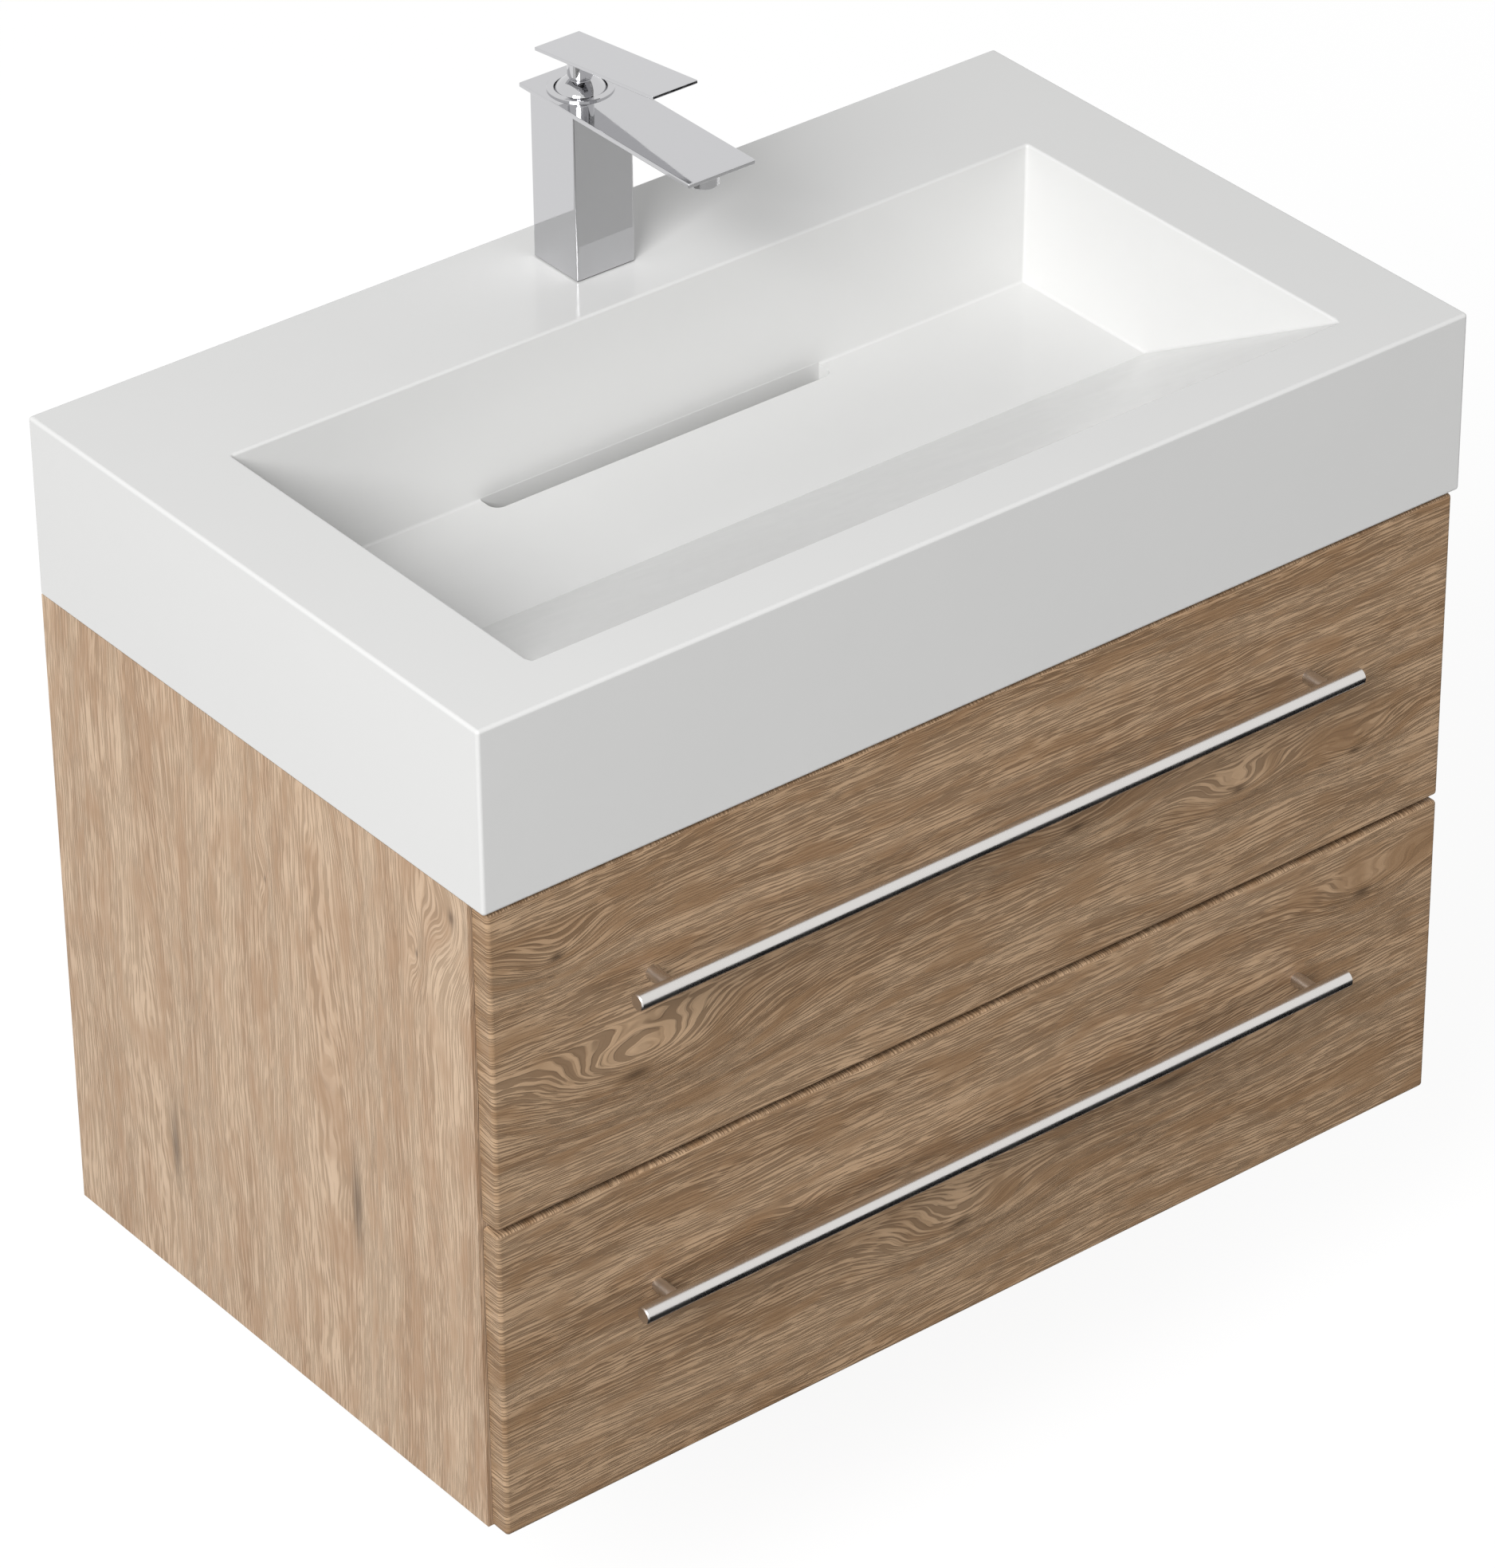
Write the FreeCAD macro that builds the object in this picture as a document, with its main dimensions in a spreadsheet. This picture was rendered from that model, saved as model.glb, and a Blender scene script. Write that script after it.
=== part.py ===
"""A mineral-cast washbasin with a single-lever mixer on a wall-hung vanity with two drawers.

The model stands in one frame, in millimetres: X to the right along the front, +Y into the wall, Z up.
The origin is on the wall, midway between the two wall bolts that the cabinet hangs from.
Every size is a cell of the sheet "Sizes", and every feature below is bound to those cells.
"""
import FreeCAD, Part
import math
import operator
import os

import Sketcher
from FreeCAD import Placement, Rotation, Vector

# Each size stands here once: its name in the sheet, its value and what it measures.
SIZES = [
    # washbasin
    ("basin_w", 800, "width of the washbasin"),
    ("basin_d", 480, "depth of the washbasin, wall to front"),
    ("basin_h", 133, "height of the washbasin's apron"),
    ("basin_edge_r", 2.5, "rounding of the washbasin's outer edges"),
    ("rim_side", 72.5, "rim beside the bowl"),
    ("rim_front", 43, "rim in front of the bowl"),
    ("deck_d", 122, "deck behind the bowl"),
    ("bowl_depth", 100, "depth of the bowl"),
    ("bowl_slope", 180.5, "run of the sloping front wall of the bowl"),
    ("end_draft", 7.5, "how far each end wall of the bowl leans in"),
    ("back_draft", 7.2, "how far the back wall of the bowl leans in"),
    ("bowl_edge_r", 2, "rounding of the bowl's rim and creases"),
    ("shell_wall", 14, "wall of the bowl"),
    ("deck_wall", 18, "wall of the rim and the deck"),
    ("apron_wall", 20, "wall of the apron"),
    ("slot_len", 282, "length of the drain slot"),
    ("slot_wide", 16.3, "width of the drain slot"),
    ("slot_corner_r", 8, "rounding of the slot's two front corners"),
    ("tap_back", 59, "tap hole centre, from the wall"),
    ("tap_hole_d", 35, "diameter of the tap hole"),
    # drain
    ("trough_end", 9, "drain trough past each end of the slot"),
    ("trough_d", 66, "depth of the drain trough, front to back"),
    ("trough_h", 40, "height of the drain trough"),
    ("trough_wall", 4, "wall of the drain trough"),
    ("trough_forward", 13.5, "trough centre, in front of the slot's centre"),
    ("waste_d", 41.91, "outer diameter of the waste tail, G 1 1/4"),
    ("waste_bore_d", 36, "bore of the waste tail"),
    ("waste_flange_d", 56, "diameter of the waste flange"),
    ("waste_flange_h", 3, "height of the waste flange"),
    ("waste_tail_len", 60, "waste tail below the trough"),
    ("waste_hole_d", 43, "hole in the trough for the waste tail"),
    ("waste_seal_h", 2, "height of the waste seal"),
    ("waste_nut_d", 56, "diameter of the waste lock nut"),
    ("waste_nut_h", 8, "height of the waste lock nut"),
    ("relief_h", 3, "height of the thread relief below the waste lock nut"),
    ("relief_deep", 0.8, "depth of the thread relief"),
    ("thread_gap", 0.05, "radial room in a threaded fit"),
    # cabinet
    ("basin_overhang", 1, "washbasin past each side of the cabinet"),
    ("cabinet_h", 480, "height of the cabinet"),
    ("cabinet_top", 110, "cabinet top above the wall bolts"),
    ("board", 16, "thickness of the cabinet's boards"),
    ("front_recess", 2, "drawer fronts behind the washbasin's front face"),
    ("front_thick", 15, "thickness of a drawer front"),
    ("buffer_gap", 1.2, "gap between a drawer front and the side panels"),
    ("front_inset", 3, "drawer front inside the cabinet's width, each side"),
    ("front_top_gap", 2.5, "gap between washbasin and upper front"),
    ("front_gap", 4.5, "gap between the two fronts"),
    ("front_edge_r", 3, "rounding of a front's edges"),
    ("back_rail_h", 90, "height of the upper back rail"),
    ("lower_rail_h", 80, "height of the lower back rail"),
    ("rail_set", 20, "back rails in front of the wall"),
    ("front_rail_d", 80, "depth of the front rail"),
    ("dowel_d", 8, "diameter of a dowel"),
    ("dowel_len", 30, "length of a dowel"),
    ("dowel_in_side", 12, "part of a dowel inside a side panel"),
    ("dowel_gap", 0.1, "room round a dowel and past its ends"),
    ("dowel_inset", 40, "outer dowels from a board's edges"),
    # hanging
    ("bolt_spacing", 700, "distance between the two wall bolts"),
    ("bolt_hole_d", 6.6, "hole for a wall bolt"),
    ("plate_w", 60, "width of a wall plate"),
    ("plate_low", 15, "wall plate below its bolt"),
    ("hook_drop", 23, "top of the wall plate's hook below the cabinet top"),
    ("hook_h", 12, "height of the wall plate's hook"),
    ("hook_out", 5, "room between the hook and the wall"),
    ("steel", 2, "thickness of the plates and hangers"),
    ("hanger_w", 50, "width of a hanger"),
    ("hanger_h", 60, "height of a hanger's back plate"),
    ("hanger_lip", 9, "height of a hanger's lip"),
    ("hanger_gap", 0.7, "hanger lip behind the wall plate's hook"),
    # drawers
    ("side_board", 12, "thickness of a drawer's sides and back"),
    ("runner_gap", 13, "gap between a side panel and a drawer side"),
    ("box_len", 400, "length of a drawer's sides"),
    ("upper_box_h", 120, "height of the upper drawer's sides"),
    ("lower_box_h", 150, "height of the lower drawer's sides"),
    ("upper_box_lift", 14, "upper drawer's sides above its front's lower edge"),
    ("lower_box_lift", 25, "lower drawer's sides above its front's lower edge"),
    ("bottom_board", 8, "thickness of a drawer bottom"),
    ("bottom_inset", 10, "drawer bottom above the sides' lower edge"),
    ("groove_deep", 5, "depth of the groove that holds a drawer bottom"),
    ("groove_gap", 0.2, "room round a drawer bottom in its groove"),
    ("cutout_w", 220, "width of the siphon cut-out in the upper drawer"),
    ("cutout_d", 170, "depth of the siphon cut-out in the upper drawer"),
    # handles
    ("bar_d", 12, "diameter of a handle bar"),
    ("bar_len", 600, "length of a handle bar"),
    ("bar_chamfer", 0.8, "chamfer at a bar's ends"),
    ("bar_reach", 21, "bar axis in front of its drawer front"),
    ("bar_drop", 93, "bar axis below its front's top edge"),
    ("post_spacing", 544, "distance between a handle's two posts"),
    ("post_d", 10, "diameter of a handle post"),
    ("post_gap", 0.05, "room between post and bar, and round a screw"),
    ("screw_d", 4, "diameter of a handle screw"),
    ("screw_head_d", 8, "head of a handle screw"),
    ("screw_head_h", 2.5, "height of a handle screw's head"),
    ("screw_grip", 10, "depth of a handle screw in its post"),
    ("screw_hole_gap", 0.2, "room round a screw in a board"),
    # runners
    ("rail_h", 45, "height of a runner's outer rail"),
    ("rail_steel", 1.2, "thickness of a runner's steel"),
    ("rail_len", 400, "length of a runner's outer and inner rails"),
    ("middle_len", 380, "length of a runner's middle rail"),
    ("rail_inset", 3, "runners behind the side panels' front edges"),
    ("rail_lift", 45, "runner axis above the drawer sides' lower edge"),
    ("slide_gap", 0.4, "room between two rails of a runner"),
    ("outer_flange", 9.6, "width of an outer rail"),
    ("rail_screw_d", 3.5, "diameter of a board screw"),
    ("rail_screw_len", 12, "length of a board screw in its board"),
    ("rail_screw_head_d", 7, "head of a board screw"),
    ("rail_screw_head_h", 1.8, "height of a board screw's head"),
    ("rail_screw_inset", 60, "board screws from a rail's ends"),
    # mixer: heights are above the deck
    ("base_seal_h", 1, "height of the seal under the mixer"),
    ("base_seal_inset", 1, "seal inside the column's outline"),
    ("column_rim", 2.3, "mixer's square column past the chamber, each side"),
    ("column_r", 2, "rounding of the column's corners"),
    ("column_wall", 5, "wall of the column round its lower cavity"),
    ("spout_lip", 3, "spout plate past the column, each side"),
    ("spout_back", 7, "spout plate behind the column"),
    ("spout_reach", 149, "spout plate in front of the column's axis"),
    ("spout_plate", 3.3, "thickness of the spout plate"),
    ("spout_lift", 123, "underside of the spout plate"),
    ("spout_edge_r", 0.8, "rounding of the spout plate's edges"),
    ("cove_r", 2.5, "cove between column and spout plate"),
    ("boss_d", 22, "diameter of the outlet boss"),
    ("boss_drop", 13, "outlet boss below the spout plate"),
    ("boss_set", 20, "outlet boss behind the spout's tip"),
    ("boss_edge_r", 1.5, "rounding of the outlet boss"),
    ("duct_w", 26, "width of the duct under the spout plate"),
    ("duct_h", 9, "height of the duct under the spout plate"),
    ("waterway_d", 6, "bore of the duct"),
    ("web_low", 56, "underside of the column's web"),
    ("web_h", 10, "height of the column's web"),
    ("port_d", 9, "bore of a supply port, M10 x 1"),
    ("port_side", 8, "supply ports beside and behind the column's axis"),
    ("cartridge_d", 35, "diameter of the cartridge"),
    ("cartridge_h", 38, "height of the cartridge"),
    ("cartridge_gap", 0.2, "radial room round the cartridge and its nut"),
    ("nut_wide", 2, "cartridge nut past the cartridge, all round"),
    ("nut_bore_d", 24.4, "bore of the cartridge nut"),
    ("nut_h", 8, "height of the cartridge nut"),
    ("chamber_drop", 6, "chamber below the dome's centre"),
    ("dome_r", 20, "radius of the dome"),
    ("dome_gap", 0.9, "radial room between the dome and the trim ring's skirt"),
    ("dome_wall", 2, "wall of the dome"),
    ("dome_lift", 116, "centre of the dome, where the lever tilts"),
    ("dome_top_cut", 1.4, "flat on the dome below its full height"),
    ("dome_rim_tilt", 12.5, "slant of the dome's lower rim, degrees"),
    ("dome_rim_lift", 4.3, "dome's lower rim from its centre, square to the rim"),
    ("ring_lip", 0.7, "trim ring past the chamber, all round"),
    ("ring_in", 2.4, "hole of the trim ring inside the dome's radius"),
    ("ring_h", 1.4, "height of the trim ring"),
    ("ring_chamfer", 0.45, "chamfer of the trim ring's top edges"),
    ("skirt_wall", 0.7, "wall of the trim ring's skirt"),
    ("skirt_h", 7, "height of the trim ring's skirt"),
    ("skirt_gap", 0.1, "radial room round the trim ring's skirt"),
    ("rotor_d", 23.6, "diameter of the cartridge rotor"),
    ("rotor_gap", 0.3, "rotor above the cartridge"),
    ("rotor_top", 111.5, "top of the rotor's disc"),
    ("ear_in", 4.3, "inner face of a rotor ear from the axis"),
    ("ear_out", 7.5, "outer face of a rotor ear from the axis"),
    ("ear_h", 8, "height of the rotor's ears"),
    ("pin_d", 3, "diameter of the tilt pin"),
    ("pin_gap", 0.05, "radial room round the tilt pin"),
    ("spindle_w", 8, "side of the square spindle"),
    ("spindle_in", 12, "depth of the spindle in the lever's neck"),
    ("socket_gap", 0.1, "room round the spindle"),
    ("neck_d", 17.2, "diameter of the lever's neck"),
    ("neck_r", 2, "rounding of the neck's lower edge"),
    ("lever_w", 36.5, "width of the lever plate"),
    ("lever_len", 126.5, "length of the lever plate"),
    ("lever_plate", 2.5, "thickness of the lever plate"),
    ("lever_edge_r", 0.5, "rounding of the lever plate's edges"),
    ("lever_angle", 6.8, "rise of the lever plate towards its tip, degrees"),
    ("lever_back", 24.8, "rear end of the lever plate behind the axis"),
    ("lever_lift", 151.6, "top of the lever plate at its rear end"),
    ("grub_d", 5, "diameter of the grub screw"),
    ("grub_len", 4.2, "length of the grub screw"),
    ("grub_lift", 6.5, "grub screw above the neck's lower end"),
    ("aerator_len", 9, "length of the aerator"),
    ("aerator_d", 18.4, "diameter of the aerator"),
    ("aerator_bore_d", 14.8, "bore of the aerator"),
    ("aerator_grid", 2, "thickness of the aerator's grid"),
    ("jet_d", 1.8, "diameter of a jet hole"),
    ("jet_ring_d", 9.5, "circle of the jet holes"),
    ("jet_count", 9, "number of jet holes on the circle"),
    ("stud_d", 8, "diameter of the mounting stud"),
    ("stud_forward", 10, "mounting stud in front of the axis"),
    ("stud_tail", 16, "mounting stud below its nut's washer"),
    ("clamp_d", 48, "diameter of the clamp plate and its rubber"),
    ("clamp_notch_w", 28, "width of the clamp's notch for the supply hoses"),
    ("clamp_rubber_h", 3, "height of the clamp's rubber"),
    ("clamp_plate_h", 3, "height of the clamp plate"),
    ("stud_nut_d", 14, "diameter of the stud nut"),
    ("stud_nut_h", 8, "height of the stud nut"),
]

OPERATORS = {"+": operator.add, "-": operator.sub, "*": operator.mul, "/": operator.truediv}
SIDES = {"left": -1, "right": 1}

doc = FreeCAD.newDocument("Vanity")
pieces = []


class Size:
    """A length: its expression over the sheet's cells, with its value beside it."""

    def __init__(self, text, value):
        self.text = text
        self.value = value

    def __add__(self, other):
        return combined(self, "+", other)

    def __radd__(self, other):
        return combined(other, "+", self)

    def __sub__(self, other):
        return combined(self, "-", other)

    def __rsub__(self, other):
        return combined(other, "-", self)

    def __mul__(self, other):
        return combined(self, "*", other)

    def __rmul__(self, other):
        return combined(other, "*", self)

    def __truediv__(self, other):
        return combined(self, "/", other)

    def __neg__(self):
        return combined(0, "-", self)


def as_size(number):
    """A plain number as a Size; a Size stays as it is."""
    return number if isinstance(number, Size) else Size(repr(number), number)


def combined(left, sign, right):
    """The Size that joins two others with an arithmetic sign."""
    left, right = as_size(left), as_size(right)
    return Size(f"({left.text} {sign} {right.text})", OPERATORS[sign](left.value, right.value))


def hypotenuse(leg_a, leg_b):
    """The long side of a right triangle."""
    square = leg_a * leg_a + leg_b * leg_b
    return Size(f"sqrt({square.text})", math.sqrt(square.value))


def sine(angle):
    """The sine of an angle in degrees."""
    return Size(f"sin({angle.text})", math.sin(math.radians(angle.value)))


def cosine(angle):
    """The cosine of an angle in degrees."""
    return Size(f"cos({angle.text})", math.cos(math.radians(angle.value)))


def fill_sheet():
    """Write the sheet and return its cells as an object with one Size for each alias."""
    sheet = doc.addObject("Spreadsheet::Sheet", "Sizes")
    cells = type("Cells", (), {})()
    for row, (name, value, meaning) in enumerate(SIZES, start=1):
        sheet.set(f"A{row}", meaning)
        sheet.set(f"B{row}", str(value))
        sheet.setAlias(f"B{row}", name)
        setattr(cells, name, Size(f"Sizes.{name}", value))
    doc.recompute()
    return cells


# How near two lengths count as equal, and how far past an edge its neighbours are looked for.
CLOSE = 0.01
NEARBY = 1

s = fill_sheet()
ZERO = as_size(0)


# ---------------------------------------------------------------- helpers

def bind(thing, path, size):
    """Tie one property of an object to the sheet."""
    thing.setExpression(path, as_size(size).text)


def place(thing, x, y, z, rotation=Rotation()):
    """Put an object at a point tied to the sheet."""
    point = [as_size(length) for length in (x, y, z)]
    thing.Placement = Placement(Vector(*[length.value for length in point]), rotation)
    for letter, length in zip("xyz", point):
        bind(thing, f"Placement.Base.{letter}", length)


def new_body(label):
    """An empty body that becomes the sub-part of that name."""
    body = doc.addObject("PartDesign::Body", label)
    body.Label = label
    pieces.append(body)
    return body


def rectangle(x_low, x_high, y_low, y_high):
    """An outline of four lines."""
    return polygon((x_low, y_low), (x_high, y_low), (x_high, y_high), (x_low, y_high))


def polygon(*points):
    """An outline of straight lines through the points."""
    return "polygon", [(as_size(x), as_size(y)) for x, y in points]


def circle(x, y, diameter):
    """A round outline."""
    return "circle", [as_size(x), as_size(y), as_size(diameter)]


def pin_down(sketch, geometry, vertex, x, y):
    """Fix one point of a sketch at lengths from its origin that the sheet drives."""
    for kind, length in (("DistanceX", x), ("DistanceY", y)):
        rule = sketch.addConstraint(
            Sketcher.Constraint(kind, -1, 1, geometry, vertex, length.value))
        bind(sketch, f"Constraints[{rule}]", length)


def draw(sketch, outline):
    """Add one outline to a sketch, fully constrained."""
    kind, data = outline
    if kind == "circle":
        x, y, diameter = data
        ring = Part.Circle(Vector(x.value, y.value, 0), Vector(0, 0, 1), diameter.value / 2)
        index = sketch.addGeometry(ring)
        pin_down(sketch, index, 3, x, y)
        rule = sketch.addConstraint(Sketcher.Constraint("Diameter", index, diameter.value))
        bind(sketch, f"Constraints[{rule}]", diameter)
        return
    corners = [Vector(x.value, y.value, 0) for x, y in data]
    first = sketch.GeometryCount
    for start, end in zip(corners, corners[1:] + corners[:1]):
        sketch.addGeometry(Part.LineSegment(start, end))
    for step, (x, y) in enumerate(data):
        before = first + (step - 1) % len(data)
        sketch.addConstraint(Sketcher.Constraint("Coincident", before, 2, first + step, 1))
        pin_down(sketch, first + step, 1, x, y)


def new_sketch(body, plane, offset, outlines):
    """A sketch on one of the body's own origin planes, moved along its normal."""
    sketch = body.newObject("Sketcher::SketchObject", "Sketch")
    roles = {feature.Role: feature for feature in body.Origin.OriginFeatures}
    sketch.AttachmentSupport = (roles[f"{plane}_Plane"], [""])
    sketch.MapMode = "FlatFace"
    offset = as_size(offset)
    sketch.AttachmentOffset = Placement(Vector(0, 0, offset.value), Rotation())
    bind(sketch, "AttachmentOffset.Base.z", offset)
    for outline in outlines:
        draw(sketch, outline)
    return sketch


def prism(body, plane, low, high, *outlines):
    """Add the outlines' prism between two levels of the axis across the plane."""
    low, high = as_size(low), as_size(high)
    offset = -high if plane == "XZ" else low
    pad = body.newObject("PartDesign::Pad", "Pad")
    pad.Profile = new_sketch(body, plane, offset, outlines)
    pad.Length = high.value - low.value
    bind(pad, "Length", high - low)
    return pad


def recess(body, plane, low, high, *outlines):
    """Cut the outlines' prism between two levels of the axis across the plane."""
    low, high = as_size(low), as_size(high)
    offset = -low if plane == "XZ" else high
    pocket = body.newObject("PartDesign::Pocket", "Pocket")
    pocket.Profile = new_sketch(body, plane, offset, outlines)
    pocket.Length = high.value - low.value
    bind(pocket, "Length", high - low)
    return pocket


def edges_of(shape, wanted):
    """Names of the edges that a test on their bounding box picks."""
    return [f"Edge{number}" for number, edge in enumerate(shape.Edges, start=1)
            if wanted(edge.BoundBox)]


def dress(body, kind, size, wanted):
    """Round or chamfer the edges of the body that the test picks."""
    doc.recompute()
    tip = body.Tip
    names = edges_of(tip.Shape, wanted)
    if not names:
        raise RuntimeError(f"{body.Label}: no edge to dress")
    feature = body.newObject(f"PartDesign::{kind}", kind)
    feature.Base = (tip, names)
    measure = "Radius" if kind == "Fillet" else "Size"
    setattr(feature, measure, as_size(size).value)
    bind(feature, measure, size)
    return feature


def near(value, target):
    """Whether two lengths are the same for picking an edge."""
    return abs(value - target) < CLOSE


def upright(box):
    """Whether an edge's bounding box is that of a vertical line."""
    return near(box.XLength, 0) and near(box.YLength, 0)


def level(box, height):
    """Whether an edge lies at one height."""
    return near(box.ZMin, height.value) and near(box.ZMax, height.value)


def board(label, x_span, y_span, z_span):
    """A flat board as a body of one pad."""
    body = new_body(label)
    prism(body, "XY", *z_span, rectangle(*x_span, *y_span))
    return body


def mirrored_span(side, near_x, far_x):
    """The low and high X of something that lies between two distances on one side."""
    return (near_x, far_x) if side > 0 else (-far_x, -near_x)


def cylinder(label, diameter, height, x, y, z, rotation=Rotation()):
    """A Part cylinder with its base at a point."""
    solid = doc.addObject("Part::Cylinder", label)
    solid.Radius = as_size(diameter).value / 2
    solid.Height = as_size(height).value
    bind(solid, "Radius", as_size(diameter) / 2)
    bind(solid, "Height", height)
    place(solid, x, y, z, rotation)
    return solid


def group(label, solids):
    """One sub-part that holds several like solids."""
    compound = doc.addObject("Part::Compound", label)
    compound.Label = label
    compound.Links = solids
    pieces.append(compound)
    return compound


ALONG_X = Rotation(Vector(0, 1, 0), 90)
AGAINST_X = Rotation(Vector(0, 1, 0), -90)
ALONG_Y = Rotation(Vector(1, 0, 0), -90)
AGAINST_Y = Rotation(Vector(1, 0, 0), 90)


def screw(label, shank_d, shank_len, head_d, head_h, point, rotation):
    """A pan-head screw whose head seats at the point and whose shank runs along the rotation."""
    direction = rotation.multVec(Vector(0, 0, 1))
    shank = cylinder(f"{label}_shank", shank_d, shank_len, *point, rotation)
    start = [length - head_h * round(part) for length, part in zip(point, direction)]
    head = cylinder(f"{label}_head", head_d, head_h, *start, rotation)
    fused = doc.addObject("Part::Fuse", f"{label}_screw")
    fused.Base, fused.Tool = head, shank
    return fused


# ---------------------------------------------------------------- places shared by several pieces

half_basin = s.basin_w / 2
basin_front = -s.basin_d
underside = s.cabinet_top
deck = underside + s.basin_h
bowl_half = half_basin - s.rim_side
floor_half = bowl_half - s.end_draft
bowl_front = basin_front + s.rim_front
bowl_back = -s.deck_d
floor_front = bowl_front + s.bowl_slope
floor_back = bowl_back - s.back_draft
floor_top = deck - s.bowl_depth
floor_low = floor_top - s.shell_wall

trough_y = floor_back - s.slot_wide / 2 - s.trough_forward
trough_low = floor_low - s.trough_h
trough_floor = trough_low + s.trough_wall

side_out = half_basin - s.basin_overhang
side_in = side_out - s.board
cabinet_low = s.cabinet_top - s.cabinet_h
front_face = basin_front + s.front_recess
front_back = front_face + s.front_thick
side_front = front_back + s.buffer_gap
front_h = (s.cabinet_h - s.front_top_gap - s.front_gap) / 2
rail_back = -s.rail_set
rail_front = rail_back - s.board

box_out = side_in - s.runner_gap
box_in = box_out - s.side_board
box_back = front_back + s.box_len

DRAWERS = {
    "upper": (s.cabinet_top - s.front_top_gap - front_h, s.upper_box_lift, s.upper_box_h),
    "lower": (cabinet_low, s.lower_box_lift, s.lower_box_h),
}

tap_y = -s.tap_back


# ---------------------------------------------------------------- washbasin and drain

def wedge(body, kind, low_z, low_rectangle, high_z, high_rectangle):
    """A four-sided frustum between two level rectangles, each given as X half and Y span."""
    feature = body.newObject(f"PartDesign::{kind}Wedge", f"{kind}Wedge")
    feature.Placement = Placement(Vector(), Rotation(Vector(1, 0, 0), 90))
    half_low, front_low, back_low = low_rectangle
    half_high, front_high, back_high = high_rectangle
    values = {
        "Ymin": low_z, "Ymax": high_z,
        "Xmin": -half_low, "Xmax": half_low, "Zmin": -back_low, "Zmax": -front_low,
        "X2min": -half_high, "X2max": half_high, "Z2min": -back_high, "Z2max": -front_high,
    }
    for name, size in values.items():
        setattr(feature, name, size.value)
        bind(feature, name, size)
    return feature


def make_washbasin():
    """The cast washbasin: a block, hollow below, with a bowl that slopes up to the front."""
    body = new_body("washbasin")
    prism(body, "XY", underside, deck, rectangle(-half_basin, half_basin, basin_front, ZERO))
    dress(body, "Fillet", s.basin_edge_r, lambda box: True)
    inner_half = half_basin - s.apron_wall
    recess(body, "XY", underside, deck - s.deck_wall,
           rectangle(-inner_half, inner_half, basin_front + s.apron_wall, -s.apron_wall))
    slant = s.shell_wall * hypotenuse(s.bowl_slope, s.bowl_depth) / s.bowl_depth
    outer_front = bowl_front - slant
    outer_rise = s.bowl_slope * (s.bowl_depth + s.shell_wall) / s.bowl_depth
    wedge(body, "Additive", floor_low,
          (floor_half + s.shell_wall, outer_front + outer_rise, floor_back + s.shell_wall),
          deck, (bowl_half + s.shell_wall, outer_front, bowl_back + s.shell_wall))
    wedge(body, "Subtractive", floor_top, (floor_half, floor_front, floor_back),
          deck, (bowl_half, bowl_front, bowl_back))
    inside = bowl_half.value + NEARBY
    dress(body, "Fillet", s.bowl_edge_r,
          lambda box: box.ZMin > floor_top.value - NEARBY and abs(box.XMin) < inside
          and abs(box.XMax) < inside and box.YMin > bowl_front.value - NEARBY
          and box.YMax < bowl_back.value + NEARBY)
    slot_front = floor_back - s.slot_wide
    slot_half = s.slot_len / 2
    recess(body, "XY", floor_low, floor_top + 2 * s.bowl_edge_r,
           rectangle(-slot_half, slot_half, slot_front, floor_back))
    dress(body, "Fillet", s.slot_corner_r,
          lambda box: upright(box) and near(box.YMin, slot_front.value)
          and near(abs(box.XMin), slot_half.value))
    recess(body, "XY", underside, deck, circle(ZERO, tap_y, s.tap_hole_d))


def make_drain():
    """The collecting trough under the slot, with the waste fitting that leaves through its floor."""
    half_len, half_wide = s.slot_len / 2 + s.trough_end, s.trough_d / 2
    body = new_body("slot_drain_trough")
    prism(body, "XY", trough_low, floor_low,
          rectangle(-half_len, half_len, trough_y - half_wide, trough_y + half_wide))
    inner_len, inner_wide = half_len - s.trough_wall, half_wide - s.trough_wall
    recess(body, "XY", trough_floor, floor_low,
           rectangle(-inner_len, inner_len, trough_y - inner_wide, trough_y + inner_wide))
    recess(body, "XY", trough_low, trough_floor, circle(ZERO, trough_y, s.waste_hole_d))

    seal_top = trough_floor + s.waste_seal_h
    body = new_body("waste_seal")
    prism(body, "XY", trough_floor, seal_top, circle(ZERO, trough_y, s.waste_flange_d),
          circle(ZERO, trough_y, s.waste_hole_d))

    flange_top = seal_top + s.waste_flange_h
    tail_low = trough_low - s.waste_tail_len
    body = new_body("waste_tail")
    prism(body, "XY", seal_top, flange_top, circle(ZERO, trough_y, s.waste_flange_d))
    prism(body, "XY", tail_low, seal_top, circle(ZERO, trough_y, s.waste_d))
    nut_low = trough_low - s.waste_nut_h
    recess(body, "XY", nut_low - s.relief_h, nut_low, circle(ZERO, trough_y, s.waste_hole_d),
           circle(ZERO, trough_y, s.waste_d - 2 * s.relief_deep))
    recess(body, "XY", tail_low, flange_top, circle(ZERO, trough_y, s.waste_bore_d))

    body = new_body("waste_nut")
    prism(body, "XY", nut_low, trough_low, circle(ZERO, trough_y, s.waste_nut_d),
          circle(ZERO, trough_y, s.waste_d + 2 * s.thread_gap))


# ---------------------------------------------------------------- cabinet

bottom_z = cabinet_low + s.board / 2
upper_rail_low = s.cabinet_top - s.back_rail_h
lower_rail_low = cabinet_low + s.board
lower_rail_high = lower_rail_low + s.lower_rail_h
front_rail_back = side_front + s.front_rail_d
rail_middle = rail_back - s.board / 2

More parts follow.
